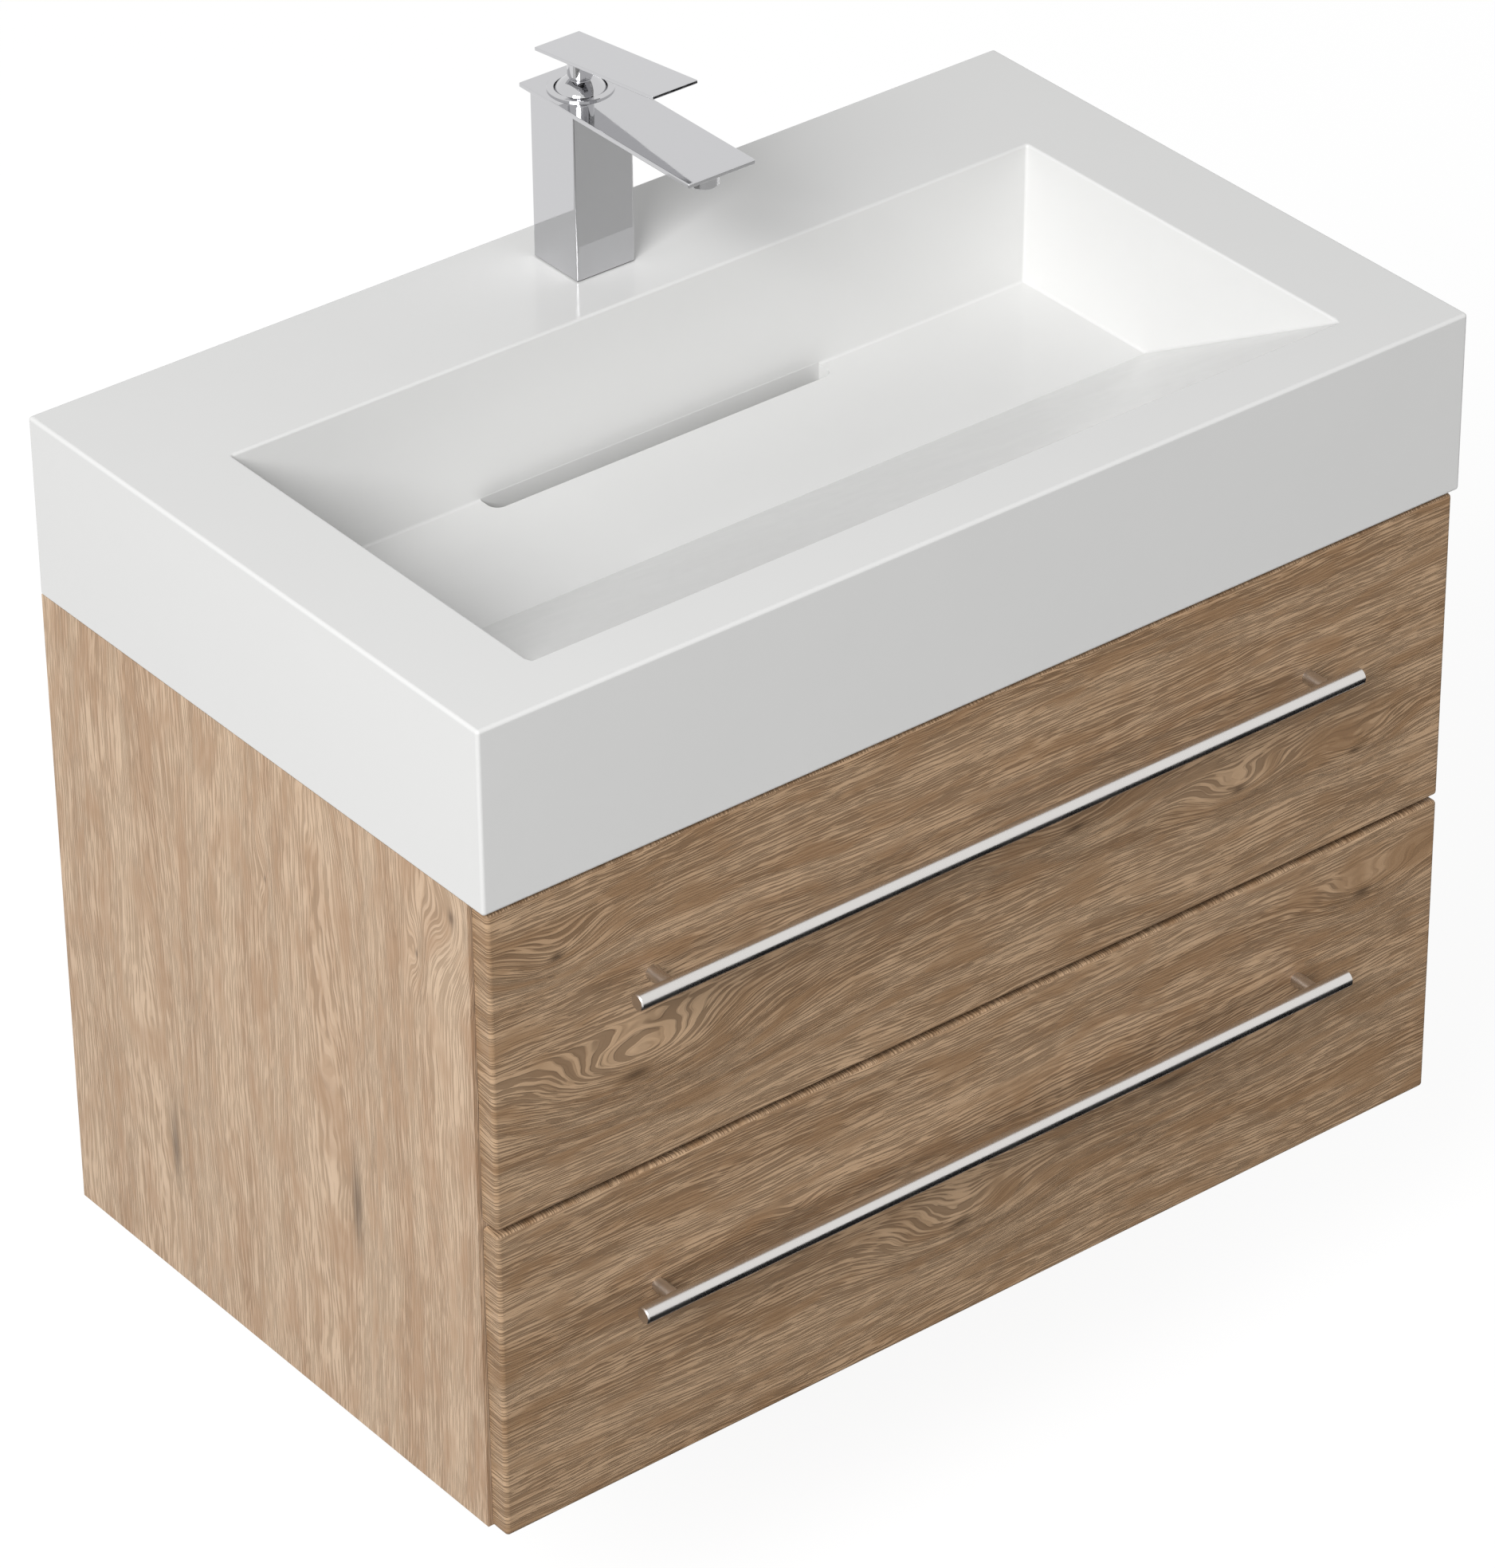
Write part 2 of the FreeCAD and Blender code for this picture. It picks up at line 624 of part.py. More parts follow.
# Each dowelled board: where its dowels lie, as pairs of Y and Z.
DOWELS = {
    "bottom_panel": [(side_front + s.dowel_inset, bottom_z),
                     ((side_front + rail_back) / 2, bottom_z),
                     (rail_back - s.dowel_inset, bottom_z)],
    "upper_back_rail": [(rail_middle, s.cabinet_top - s.board),
                        (rail_middle, upper_rail_low + s.board)],
    "lower_back_rail": [(rail_middle, lower_rail_low + s.board),
                        (rail_middle, lower_rail_high - s.board)],
    "front_rail": [(side_front + s.front_rail_d / 2, s.cabinet_top - s.board / 2)],
}
# Rail heights above the wall bolts, one for each drawer.
RUNNER_Z = {name: low + lift + s.rail_lift for name, (low, lift, _) in DRAWERS.items()}
rail_low_y = side_front + s.rail_inset
RAIL_SCREWS_Y = [rail_low_y + s.rail_screw_inset, rail_low_y + s.rail_len - s.rail_screw_inset]


def dowel_holes(places):
    """Round outlines for dowels, as pairs of Y and Z."""
    return [circle(y, z, s.dowel_d + 2 * s.dowel_gap) for y, z in places]


def make_side_panel(name, side):
    """One side panel, drilled on its inner face for dowels and runner screws."""
    body = board(f"{name}_side_panel", mirrored_span(side, side_in, side_out),
                 (side_front, ZERO), (cabinet_low, s.cabinet_top))
    every_dowel = [hole for holes in DOWELS.values() for hole in holes]
    deep = side_in + s.dowel_in_side + s.dowel_gap
    recess(body, "YZ", *mirrored_span(side, side_in, deep), *dowel_holes(every_dowel))
    screws = [circle(y, z, s.rail_screw_d + 2 * s.post_gap)
              for z in RUNNER_Z.values() for y in RAIL_SCREWS_Y]
    deep = side_in + s.rail_screw_len
    recess(body, "YZ", *mirrored_span(side, side_in, deep), *screws)


def make_cross_board(label, y_span, z_span):
    """A board between the side panels, drilled for dowels in both ends."""
    body = board(label, (-side_in, side_in), y_span, z_span)
    deep = s.dowel_len - s.dowel_in_side + s.dowel_gap
    for side in SIDES.values():
        recess(body, "YZ", *mirrored_span(side, side_in - deep, side_in),
               *dowel_holes(DOWELS[label]))
    return body


def make_dowels():
    """The dowels of all the cabinet's joints."""
    dowels = []
    for side in SIDES.values():
        low_x, _ = mirrored_span(side, side_in - (s.dowel_len - s.dowel_in_side),
                                 side_in + s.dowel_in_side)
        for places in DOWELS.values():
            for y, z in places:
                dowels.append(cylinder("dowel", s.dowel_d, s.dowel_len, low_x, y, z, ALONG_X))
    group("cabinet_dowels", dowels)


def make_cabinet():
    """The carcass: two sides, a bottom, two back rails and a front rail, all dowelled."""
    for name, side in SIDES.items():
        make_side_panel(name, side)
    make_cross_board("bottom_panel", (side_front, rail_back), (cabinet_low, lower_rail_low))
    upper = make_cross_board("upper_back_rail", (rail_front, rail_back),
                             (upper_rail_low, s.cabinet_top))
    recess(upper, "XZ", rail_back - s.rail_screw_len, rail_back,
           *[circle(x, z, s.rail_screw_d + 2 * s.post_gap) for x, z in hanger_screw_places()])
    make_cross_board("lower_back_rail", (rail_front, rail_back), (lower_rail_low, lower_rail_high))
    make_cross_board("front_rail", (side_front, front_rail_back),
                     (s.cabinet_top - s.board, s.cabinet_top))
    make_dowels()


hook_top = s.cabinet_top - s.hook_drop
hook_low = hook_top - s.hook_h
hanger_low = hook_top - s.hanger_h


def hanger_screw_places():
    """X and Z of the screws that hold the hangers, two to each."""
    places = []
    for side in SIDES.values():
        for z in (hanger_low + s.board / 2, hanger_low + s.hanger_h / 2):
            places.append((side * s.bolt_spacing / 2, z))
    return places


def make_hanging():
    """Hooked plates that stay on the wall, and the hangers that drop over their hooks."""
    hook_back = -s.hook_out
    plates = []
    hangers = []
    for side in SIDES.values():
        middle = side * s.bolt_spacing / 2
        plate = doc.addObject("PartDesign::Body", "wall_plate")
        prism(plate, "YZ", middle - s.plate_w / 2, middle + s.plate_w / 2,
              polygon((ZERO, -s.plate_low), (ZERO, hook_low), (hook_back, hook_low),
                      (hook_back, hook_top), (hook_back - s.steel, hook_top),
                      (hook_back - s.steel, hook_low - s.steel),
                      (-s.steel, hook_low - s.steel), (-s.steel, -s.plate_low)))
        recess(plate, "XZ", -s.steel, ZERO, circle(middle, ZERO, s.bolt_hole_d))
        plates.append(plate)
        hanger = doc.addObject("PartDesign::Body", "hanger")
        plate_front = rail_back + s.steel
        lip_front = hook_back + s.hanger_gap
        lip_back = lip_front + s.steel
        lip_low = hook_top - s.hanger_lip
        prism(hanger, "YZ", middle - s.hanger_w / 2, middle + s.hanger_w / 2,
              polygon((rail_back, hanger_low), (plate_front, hanger_low),
                      (plate_front, hook_top), (lip_front, hook_top), (lip_front, lip_low),
                      (lip_back, lip_low), (lip_back, hook_top + s.steel),
                      (rail_back, hook_top + s.steel)))
        recess(hanger, "XZ", rail_back, plate_front,
               *[circle(x, z, s.rail_screw_d + 2 * s.screw_hole_gap)
                 for x, z in hanger_screw_places() if x.value * side > 0])
        hangers.append(hanger)
    group("wall_plates", plates)
    group("hangers", hangers)


def make_board_screws():
    """Pan-head screws of the outer runner rails and of the hangers."""
    screws = []
    shank = s.rail_steel + s.rail_screw_len - s.screw_hole_gap
    for side, rotation in ((1, ALONG_X), (-1, AGAINST_X)):
        for z in RUNNER_Z.values():
            for y in RAIL_SCREWS_Y:
                head_x = (side_in - s.rail_steel) * side
                screws.append(screw("rail", s.rail_screw_d, shank, s.rail_screw_head_d,
                                    s.rail_screw_head_h, (head_x, y, z), rotation))
    shank = s.steel + s.rail_screw_len - s.screw_hole_gap
    for x, z in hanger_screw_places():
        screws.append(screw("hanger", s.rail_screw_d, shank, s.rail_screw_head_d,
                            s.rail_screw_head_h, (x, rail_back + s.steel, z), AGAINST_Y))
    group("board_screws", screws)


# ---------------------------------------------------------------- runners

# Across a runner, from the side panel inwards: each rail's web and the reach of its flanges.
outer_web = side_in - s.rail_steel
outer_reach = side_in - s.outer_flange
inner_web = box_out + s.rail_steel
middle_half = s.rail_h / 2 - s.rail_steel - s.slide_gap
inner_half = middle_half - s.rail_steel - s.slide_gap
middle_reach_out = outer_web - s.slide_gap
middle_reach_in = outer_reach + s.slide_gap
middle_web_out = (side_in + box_out) / 2 + s.rail_steel + s.slide_gap
middle_web_in = middle_web_out - s.rail_steel
inner_reach = middle_web_in - s.slide_gap


def mirrored_polygon(side, points):
    """An outline on the right, or its mirror image on the left."""
    return polygon(*[(side * x, z) for x, z in points])


def make_runner(drawer, name, side):
    """One full-extension runner: outer, middle and inner rail, nested in each other."""
    axis_z = RUNNER_Z[drawer]
    steel = s.rail_steel
    half = s.rail_h / 2
    outer = new_body(f"{drawer}_{name}_outer_rail")
    prism(outer, "XZ", rail_low_y, rail_low_y + s.rail_len, mirrored_polygon(side, [
        (side_in, axis_z - half), (side_in, axis_z + half), (outer_reach, axis_z + half),
        (outer_reach, axis_z + half - steel), (outer_web, axis_z + half - steel),
        (outer_web, axis_z - half + steel), (outer_reach, axis_z - half + steel),
        (outer_reach, axis_z - half)]))
    recess(outer, "YZ", *mirrored_span(side, outer_web, side_in),
           *[circle(y, axis_z, s.rail_screw_d + 2 * s.screw_hole_gap) for y in RAIL_SCREWS_Y])
    middle = new_body(f"{drawer}_{name}_middle_rail")
    inset = middle_half - steel
    prism(middle, "XZ", rail_low_y, rail_low_y + s.middle_len, mirrored_polygon(side, [
        (middle_reach_in, axis_z - middle_half), (middle_reach_out, axis_z - middle_half),
        (middle_reach_out, axis_z - inset), (middle_web_out, axis_z - inset),
        (middle_web_out, axis_z + inset), (middle_reach_out, axis_z + inset),
        (middle_reach_out, axis_z + middle_half), (middle_reach_in, axis_z + middle_half),
        (middle_reach_in, axis_z + inset), (middle_web_in, axis_z + inset),
        (middle_web_in, axis_z - inset), (middle_reach_in, axis_z - inset)]))
    inner = new_body(f"{drawer}_{name}_inner_rail")
    prism(inner, "XZ", rail_low_y, rail_low_y + s.rail_len, mirrored_polygon(side, [
        (box_out, axis_z - inner_half), (inner_reach, axis_z - inner_half),
        (inner_reach, axis_z - inner_half + steel), (inner_web, axis_z - inner_half + steel),
        (inner_web, axis_z + inner_half - steel), (inner_reach, axis_z + inner_half - steel),
        (inner_reach, axis_z + inner_half), (box_out, axis_z + inner_half)]))


# ---------------------------------------------------------------- drawers

def make_front(drawer, front_low):
    """A drawer front with rounded edges and two holes for the handle's screws."""
    half = side_out - s.front_inset
    body = board(f"{drawer}_front", (-half, half), (front_face, front_back),
                 (front_low, front_low + front_h))
    dress(body, "Fillet", s.front_edge_r, lambda box: box.YMin < front_face.value + CLOSE)
    bar_z = front_low + front_h - s.bar_drop
    hole = s.screw_d + 2 * s.screw_hole_gap
    recess(body, "XZ", front_face, front_back,
           *[circle(side * s.post_spacing / 2, bar_z, hole) for side in SIDES.values()])


def make_handle(drawer, front_low):
    """A round bar on two coped posts, screwed on from inside the front."""
    bar_z = front_low + front_h - s.bar_drop
    bar_y = front_face - s.bar_reach
    body = new_body(f"{drawer}_handle_bar")
    prism(body, "YZ", -s.bar_len / 2, s.bar_len / 2, circle(bar_y, bar_z, s.bar_d))
    dress(body, "Chamfer", s.bar_chamfer, lambda box: box.XLength < CLOSE)
    posts = []
    screws = []
    for side in SIDES.values():
        x = side * s.post_spacing / 2
        blank = cylinder("post_blank", s.post_d, s.bar_reach, x, front_face, bar_z, AGAINST_Y)
        cope = cylinder("post_cope", s.bar_d + 2 * s.post_gap, 2 * s.post_d,
                        x - s.post_d, bar_y, bar_z, ALONG_X)
        coped = doc.addObject("Part::Cut", "coped_post")
        coped.Base, coped.Tool = blank, cope
        hole = cylinder("post_hole", s.screw_d + 2 * s.post_gap, s.screw_grip + s.post_gap,
                        x, front_face, bar_z, AGAINST_Y)
        post = doc.addObject("Part::Cut", "post")
        post.Base, post.Tool = coped, hole
        posts.append(post)
        screws.append(screw("handle", s.screw_d, s.front_thick + s.screw_grip,
                            s.screw_head_d, s.screw_head_h, (x, front_back, bar_z), AGAINST_Y))
    group(f"{drawer}_handle_posts", posts)
    group(f"{drawer}_handle_screws", screws)


def make_box(drawer, box_low, box_h):
    """The drawer's grooved sides, its bottom and its back."""
    bottom_low = box_low + s.bottom_inset
    bottom_high = bottom_low + s.bottom_board
    box_high = box_low + box_h
    for name, side in SIDES.items():
        body = board(f"{drawer}_drawer_{name}_side", mirrored_span(side, box_in, box_out),
                     (front_back, box_back), (box_low, box_high))
        recess(body, "YZ", *mirrored_span(side, box_in, box_in + s.groove_deep),
               rectangle(front_back, box_back, bottom_low - s.groove_gap,
                         bottom_high + s.groove_gap))
    tongue = box_in + s.groove_deep - s.groove_gap
    floor = board(f"{drawer}_drawer_bottom", (-tongue, tongue), (front_back, box_back),
                  (bottom_low, bottom_high))
    back_front = box_back - s.side_board
    if drawer == "lower":
        board(f"{drawer}_drawer_back", (-box_in, box_in), (back_front, box_back),
              (bottom_high, box_high))
        return
    half_cut = s.cutout_w / 2
    cut_front = box_back - s.cutout_d
    wall_half = half_cut + s.side_board
    wall_front = cut_front - s.side_board
    recess(floor, "XY", bottom_low, bottom_high,
           rectangle(-half_cut, half_cut, cut_front, box_back))
    backs = []
    for side in SIDES.values():
        half = doc.addObject("PartDesign::Body", "back_half")
        prism(half, "XY", bottom_high, box_high,
              rectangle(*mirrored_span(side, wall_half, box_in), back_front, box_back))
        backs.append(half)
    group(f"{drawer}_drawer_back", backs)
    wall = new_body("upper_siphon_wall")
    prism(wall, "XY", bottom_high, box_high, polygon(
        (-wall_half, wall_front), (wall_half, wall_front), (wall_half, box_back),
        (half_cut, box_back), (half_cut, cut_front), (-half_cut, cut_front),
        (-half_cut, box_back), (-wall_half, box_back)))


def make_drawers():
    """Both drawers with their fronts, handles, boxes and runners."""
    for drawer, (front_low, lift, box_h) in DRAWERS.items():
        make_front(drawer, front_low)
        make_handle(drawer, front_low)
        make_box(drawer, front_low + lift, box_h)
        for name, side in SIDES.items():
            make_runner(drawer, name, side)


# ---------------------------------------------------------------- mixer

column_low = deck + s.base_seal_h
chamber_d = 2 * (s.dome_r + s.dome_gap + s.skirt_wall + s.skirt_gap)
column_half = chamber_d / 2 + s.column_rim
nut_d = s.cartridge_d + 2 * s.nut_wide
web_low = deck + s.web_low
cartridge_low = web_low + s.web_h
cartridge_top = cartridge_low + s.cartridge_h
dome_z = deck + s.dome_lift
plate_low = deck + s.spout_lift
plate_top = plate_low + s.spout_plate
boss_y = tap_y - s.spout_reach + s.boss_set
boss_low = plate_low - s.boss_drop
aerator_bore = s.aerator_d + 2 * s.thread_gap
neck_low = dome_z + s.dome_r - s.dome_top_cut
spindle_top = neck_low + s.spindle_in
stud_y = tap_y - s.stud_forward
clamp_top = deck - s.deck_wall


def make_mixer_body():
    """The mixer's one-piece casting: square column, thin spout plate, duct and outlet boss."""
    body = new_body("mixer_body")
    prism(body, "XY", column_low, plate_low,
          rectangle(-column_half, column_half, tap_y - column_half, tap_y + column_half))
    dress(body, "Fillet", s.column_r, upright)
    spout_half = column_half + s.spout_lip
    spout_rear = tap_y + column_half + s.spout_back
    tip_y = tap_y - s.spout_reach
    prism(body, "XY", plate_low, plate_top,
          rectangle(-spout_half, spout_half, tip_y, spout_rear))
    dress(body, "Fillet", s.spout_edge_r, lambda box: box.ZMin > plate_low.value - CLOSE
          and (near(abs(box.XMin + box.XMax), 2 * spout_half.value)
               or near(box.YMin, tip_y.value) and near(box.YMax, tip_y.value)
               or box.YMin > spout_rear.value - CLOSE))
    dress(body, "Fillet", s.cove_r, lambda box: near(box.ZMin, plate_low.value)
          and near(box.ZMax, plate_low.value) and abs(box.XMin) < column_half.value + CLOSE
          and abs(box.XMax) < column_half.value + CLOSE
          and box.YMin > tap_y.value - column_half.value - CLOSE)
    prism(body, "XY", boss_low, plate_low, circle(ZERO, boss_y, s.boss_d))
    dress(body, "Fillet", s.boss_edge_r, lambda box: level(box, boss_low))
    prism(body, "XZ", boss_y, tap_y, rectangle(-s.duct_w / 2, s.duct_w / 2,
                                              plate_low - s.duct_h, plate_low))
    cavity_half = column_half - s.column_wall
    recess(body, "XY", column_low, web_low,
           rectangle(-cavity_half, cavity_half, tap_y - cavity_half, tap_y + cavity_half))
    recess(body, "XY", cartridge_low, plate_top,
           circle(ZERO, tap_y, s.cartridge_d + 2 * s.cartridge_gap))
    recess(body, "XY", cartridge_top, plate_top,
           circle(ZERO, tap_y, nut_d + 2 * s.cartridge_gap))
    recess(body, "XY", dome_z - s.chamber_drop, plate_top, circle(ZERO, tap_y, chamber_d))
    recess(body, "XZ", boss_y, tap_y - column_half,
           circle(ZERO, plate_low - s.duct_h / 2, s.waterway_d))
    recess(body, "XY", boss_low, plate_low - s.spout_plate / 2,
           circle(ZERO, boss_y, aerator_bore))
    recess(body, "XY", web_low, cartridge_low,
           *[circle(side * s.port_side, tap_y + s.port_side, s.port_d)
             for side in SIDES.values()])
    recess(body, "XY", web_low, cartridge_low - s.thread_gap,
           circle(ZERO, stud_y, s.stud_d + 2 * s.thread_gap))


def make_mixer_head():
    """What closes the top of the column: cartridge, its nut, and the trim ring."""
    cylinder_at = (ZERO, tap_y)
    body = new_body("cartridge")
    prism(body, "XY", cartridge_low, cartridge_top, circle(*cylinder_at, s.cartridge_d))
    body = new_body("cartridge_nut")
    prism(body, "XY", cartridge_top, cartridge_top + s.nut_h,
          circle(*cylinder_at, nut_d), circle(*cylinder_at, s.nut_bore_d))
    body = new_body("trim_ring")
    prism(body, "XY", plate_top, plate_top + s.ring_h,
          circle(*cylinder_at, chamber_d + 2 * s.ring_lip),
          circle(*cylinder_at, 2 * (s.dome_r - s.ring_in)))
    skirt_d = chamber_d - 2 * s.skirt_gap
    prism(body, "XY", plate_top - s.skirt_h, plate_top,
          circle(*cylinder_at, skirt_d), circle(*cylinder_at, skirt_d - 2 * s.skirt_wall))
    dress(body, "Chamfer", s.ring_chamfer, lambda box: level(box, plate_top + s.ring_h))


def make_rotor():
    """The part of the cartridge that swivels, with two ears and the pin that the lever tilts on."""
    body = new_body("cartridge_rotor")
    low = cartridge_top + s.rotor_gap
    top = deck + s.rotor_top
    prism(body, "XY", low, top, circle(ZERO, tap_y, s.rotor_d))
    ear_half = s.spindle_w / 2
    for side in SIDES.values():
        prism(body, "XY", top, top + s.ear_h,
              rectangle(*mirrored_span(side, s.ear_in, s.ear_out),
                        tap_y - ear_half, tap_y + ear_half))
    recess(body, "YZ", -s.ear_out, s.ear_out, circle(tap_y, dome_z, s.pin_d + 2 * s.thread_gap))
    body = new_body("tilt_pin")
    prism(body, "YZ", -s.ear_out, s.ear_out, circle(tap_y, dome_z, s.pin_d))


def make_lever():
    """What the hand tilts and swivels: spindle, dome, lever with its neck, and grub screw."""
    half = s.spindle_w / 2
    body = new_body("spindle")
    prism(body, "YZ", -half, half, circle(tap_y, dome_z, s.spindle_w))
    prism(body, "YZ", -half, half, rectangle(tap_y - half, tap_y + half, dome_z, spindle_top))
    recess(body, "YZ", -half, half, circle(tap_y, dome_z, s.pin_d + 2 * s.pin_gap))

    socket_half = half + s.socket_gap
    make_dome(socket_half)

    body = new_body("lever")
    plate_angle = s.lever_angle
    run = s.lever_len * cosine(plate_angle)
    rise = s.lever_len * sine(plate_angle)
    thick_y = s.lever_plate * sine(plate_angle)
    thick_z = s.lever_plate * cosine(plate_angle)
    rear_y = tap_y + s.lever_back
    rear_z = deck + s.lever_lift
    prism(body, "YZ", -s.lever_w / 2, s.lever_w / 2, polygon(
        (rear_y, rear_z), (rear_y - run, rear_z + rise),
        (rear_y - run - thick_y, rear_z + rise - thick_z), (rear_y - thick_y, rear_z - thick_z)))
    dress(body, "Fillet", s.lever_edge_r, lambda box: True)
    drop = s.lever_back * sine(plate_angle) / cosine(plate_angle)
    neck_top = rear_z + drop - s.lever_plate / 2
    prism(body, "XY", neck_low, neck_top, circle(ZERO, tap_y, s.neck_d))
    dress(body, "Fillet", s.neck_r, lambda box: level(box, neck_low))
    recess(body, "XY", neck_low, spindle_top + s.socket_gap,
           rectangle(-socket_half, socket_half, tap_y - socket_half, tap_y + socket_half))
    grub_z = neck_low + s.grub_lift
    recess(body, "XZ", tap_y, tap_y + s.neck_d / 2 + s.socket_gap,
           circle(ZERO, grub_z, s.grub_d + 2 * s.thread_gap))
    body = new_body("lever_grub_screw")
    grub_y = tap_y + socket_half
    prism(body, "XZ", grub_y, grub_y + s.grub_len, circle(ZERO, grub_z, s.grub_d))


def make_dome(socket_half):
    """The dome under the lever: a ball shell, flat on top, open below along a slanted rim."""
    ball = doc.addObject("Part::Sphere", "dome_ball")
    hollow = doc.addObject("Part::Sphere", "dome_hollow")
    for solid, radius in ((ball, s.dome_r), (hollow, s.dome_r - s.dome_wall)):
        solid.Radius = radius.value
        bind(solid, "Radius", radius)
        place(solid, ZERO, tap_y, dome_z)
    shell = doc.addObject("Part::Cut", "dome_shell")
    shell.Base, shell.Tool = ball, hollow
    span = 2 * s.dome_r
    top = doc.addObject("Part::Box", "dome_top")
    below = doc.addObject("Part::Box", "dome_below")
    socket = doc.addObject("Part::Box", "dome_socket")
    for solid, sides in ((top, (2 * span, 2 * span, span)), (below, (2 * span, 2 * span, span)),
                         (socket, (2 * socket_half, 2 * socket_half, span))):
        for name, size in zip(("Length", "Width", "Height"), sides):
            setattr(solid, name, size.value)
            bind(solid, name, size)
    place(top, -span, tap_y - span, neck_low)
    place(socket, -socket_half, tap_y - socket_half, dome_z)
    tilt = s.dome_rim_tilt
    rim = Rotation(Vector(1, 0, 0), tilt.value)
    reach = span - s.dome_rim_lift
    place(below, -span, tap_y - span * cosine(tilt) + reach * sine(tilt),
          dome_z - span * sine(tilt) - reach * cosine(tilt), rim)
    bind(below, "Placement.Rotation.Angle", tilt)
    tools = doc.addObject("Part::MultiFuse", "dome_cuts")
    tools.Shapes = [top, below, socket]
    dome = doc.addObject("Part::Cut", "dome_cap")
    dome.Label = "dome_cap"
    dome.Base, dome.Tool = shell, tools
    pieces.append(dome)


def make_aerator():
    """The aerator: a cup with a ring of jet holes in its grid."""
    body = new_body("aerator")
    top = boss_low + s.aerator_len
    prism(body, "XY", boss_low, top, circle(ZERO, boss_y, s.aerator_d))
    recess(body, "XY", boss_low + s.aerator_grid, top, circle(ZERO, boss_y, s.aerator_bore_d))
    recess(body, "XY", boss_low, boss_low + s.aerator_grid, circle(ZERO, boss_y, s.jet_d))
    count = int(s.jet_count.value)
    jets = [circle(s.jet_ring_d / 2 * cosine(as_size(360 * step / count)),
                   boss_y + s.jet_ring_d / 2 * sine(as_size(360 * step / count)), s.jet_d)
            for step in range(count)]
    recess(body, "XY", boss_low, boss_low + s.aerator_grid, *jets)


def make_clamp(label, low, high):
    """A horseshoe washer round the stud, open behind for the supply hoses."""
    body = new_body(label)
    prism(body, "XY", low, high, circle(ZERO, tap_y, s.clamp_d))
    notch_half = s.clamp_notch_w / 2
    recess(body, "XY", low, high, rectangle(-notch_half, notch_half, tap_y,
                                            tap_y + s.clamp_d))
    recess(body, "XY", low, high, circle(ZERO, stud_y, s.stud_d + 2 * s.thread_gap))


def make_mixer_fixing():
    """The seal under the column, and the stud with rubber, clamp plate and nut below the deck."""
    half = column_half - s.base_seal_inset
    body = new_body("base_seal")
    prism(body, "XY", deck, column_low, rectangle(-half, half, tap_y - half, tap_y + half),
          circle(ZERO, tap_y, s.tap_hole_d))
    rubber_low = clamp_top - s.clamp_rubber_h
    clamp_low = rubber_low - s.clamp_plate_h
    nut_low = clamp_low - s.stud_nut_h
    make_clamp("clamp_rubber", rubber_low, clamp_top)
    make_clamp("clamp_plate", clamp_low, rubber_low)
    body = new_body("mounting_stud")
    prism(body, "XY", nut_low - s.stud_tail, cartridge_low - s.thread_gap,
          circle(ZERO, stud_y, s.stud_d))
    body = new_body("stud_nut")
    prism(body, "XY", nut_low, clamp_low, circle(ZERO, stud_y, s.stud_nut_d),
          circle(ZERO, stud_y, s.stud_d + 2 * s.thread_gap))


# ---------------------------------------------------------------- checks and export

def check_features():
    """Stop if any object failed, or if a cut took nothing away."""
    for thing in doc.Objects:
        if {"Invalid", "Error"} & set(thing.State):
            raise RuntimeError(f"{thing.Label} failed: {thing.State}")
    for thing in doc.Objects:
        cuts = thing.TypeId == "PartDesign::Pocket" or "Subtractive" in thing.TypeId
        if cuts and not thing.Shape.Volume < thing.BaseFeature.Shape.Volume:
            raise RuntimeError(f"{thing.Label} cuts nothing")


def export():
    """Write one STEP file for each sub-part."""
    os.makedirs("parts", exist_ok=True)
    for piece in pieces:
        shape = piece.Shape
        if shape.isNull() or not shape.isValid() or not shape.Solids:
            raise RuntimeError(f"{piece.Label} has no valid solid")
        shape.exportStep(f"parts/{piece.Label}.step")
        print(f"{piece.Label}: {len(shape.Solids)} solid(s), {shape.Volume / 1000:.2f} cm3")


make_washbasin()
make_drain()
make_cabinet()
make_hanging()
make_board_screws()
make_drawers()
make_mixer_body()
make_mixer_head()
make_rotor()
make_lever()
make_aerator()
make_mixer_fixing()
doc.recompute()
check_features()
export()
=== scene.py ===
"""The finishes, small fittings and studio of a wall-hung vanity with a slab washbasin."""
import math

import bpy
from bpy.props import FloatProperty, FloatVectorProperty, IntProperty, PointerProperty
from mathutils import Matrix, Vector


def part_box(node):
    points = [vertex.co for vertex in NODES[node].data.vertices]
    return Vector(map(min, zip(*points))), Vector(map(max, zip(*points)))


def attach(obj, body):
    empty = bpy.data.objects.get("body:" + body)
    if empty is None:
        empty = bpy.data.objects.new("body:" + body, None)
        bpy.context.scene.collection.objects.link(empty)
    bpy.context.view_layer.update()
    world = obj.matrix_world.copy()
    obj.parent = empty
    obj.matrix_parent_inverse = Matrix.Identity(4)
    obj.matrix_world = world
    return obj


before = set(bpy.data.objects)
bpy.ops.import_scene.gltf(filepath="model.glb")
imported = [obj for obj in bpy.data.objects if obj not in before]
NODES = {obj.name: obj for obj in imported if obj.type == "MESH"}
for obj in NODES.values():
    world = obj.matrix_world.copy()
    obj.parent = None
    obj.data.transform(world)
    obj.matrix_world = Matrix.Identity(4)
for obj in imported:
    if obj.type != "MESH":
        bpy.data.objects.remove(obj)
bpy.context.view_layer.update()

bl_info = {
    "name": "Slab washbasin vanity",
    "version": (1, 0, 0),
    "blender": (4, 5, 0),
    "location": "View3D > Sidebar > Vanity",
    "description": "Finishes, small fittings and studio for the washbasin vanity",
    "category": "Object",
}

side_low, side_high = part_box("left_side_panel")
deck_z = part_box("washbasin")[1].z
front_face_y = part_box("upper_front")[0].y


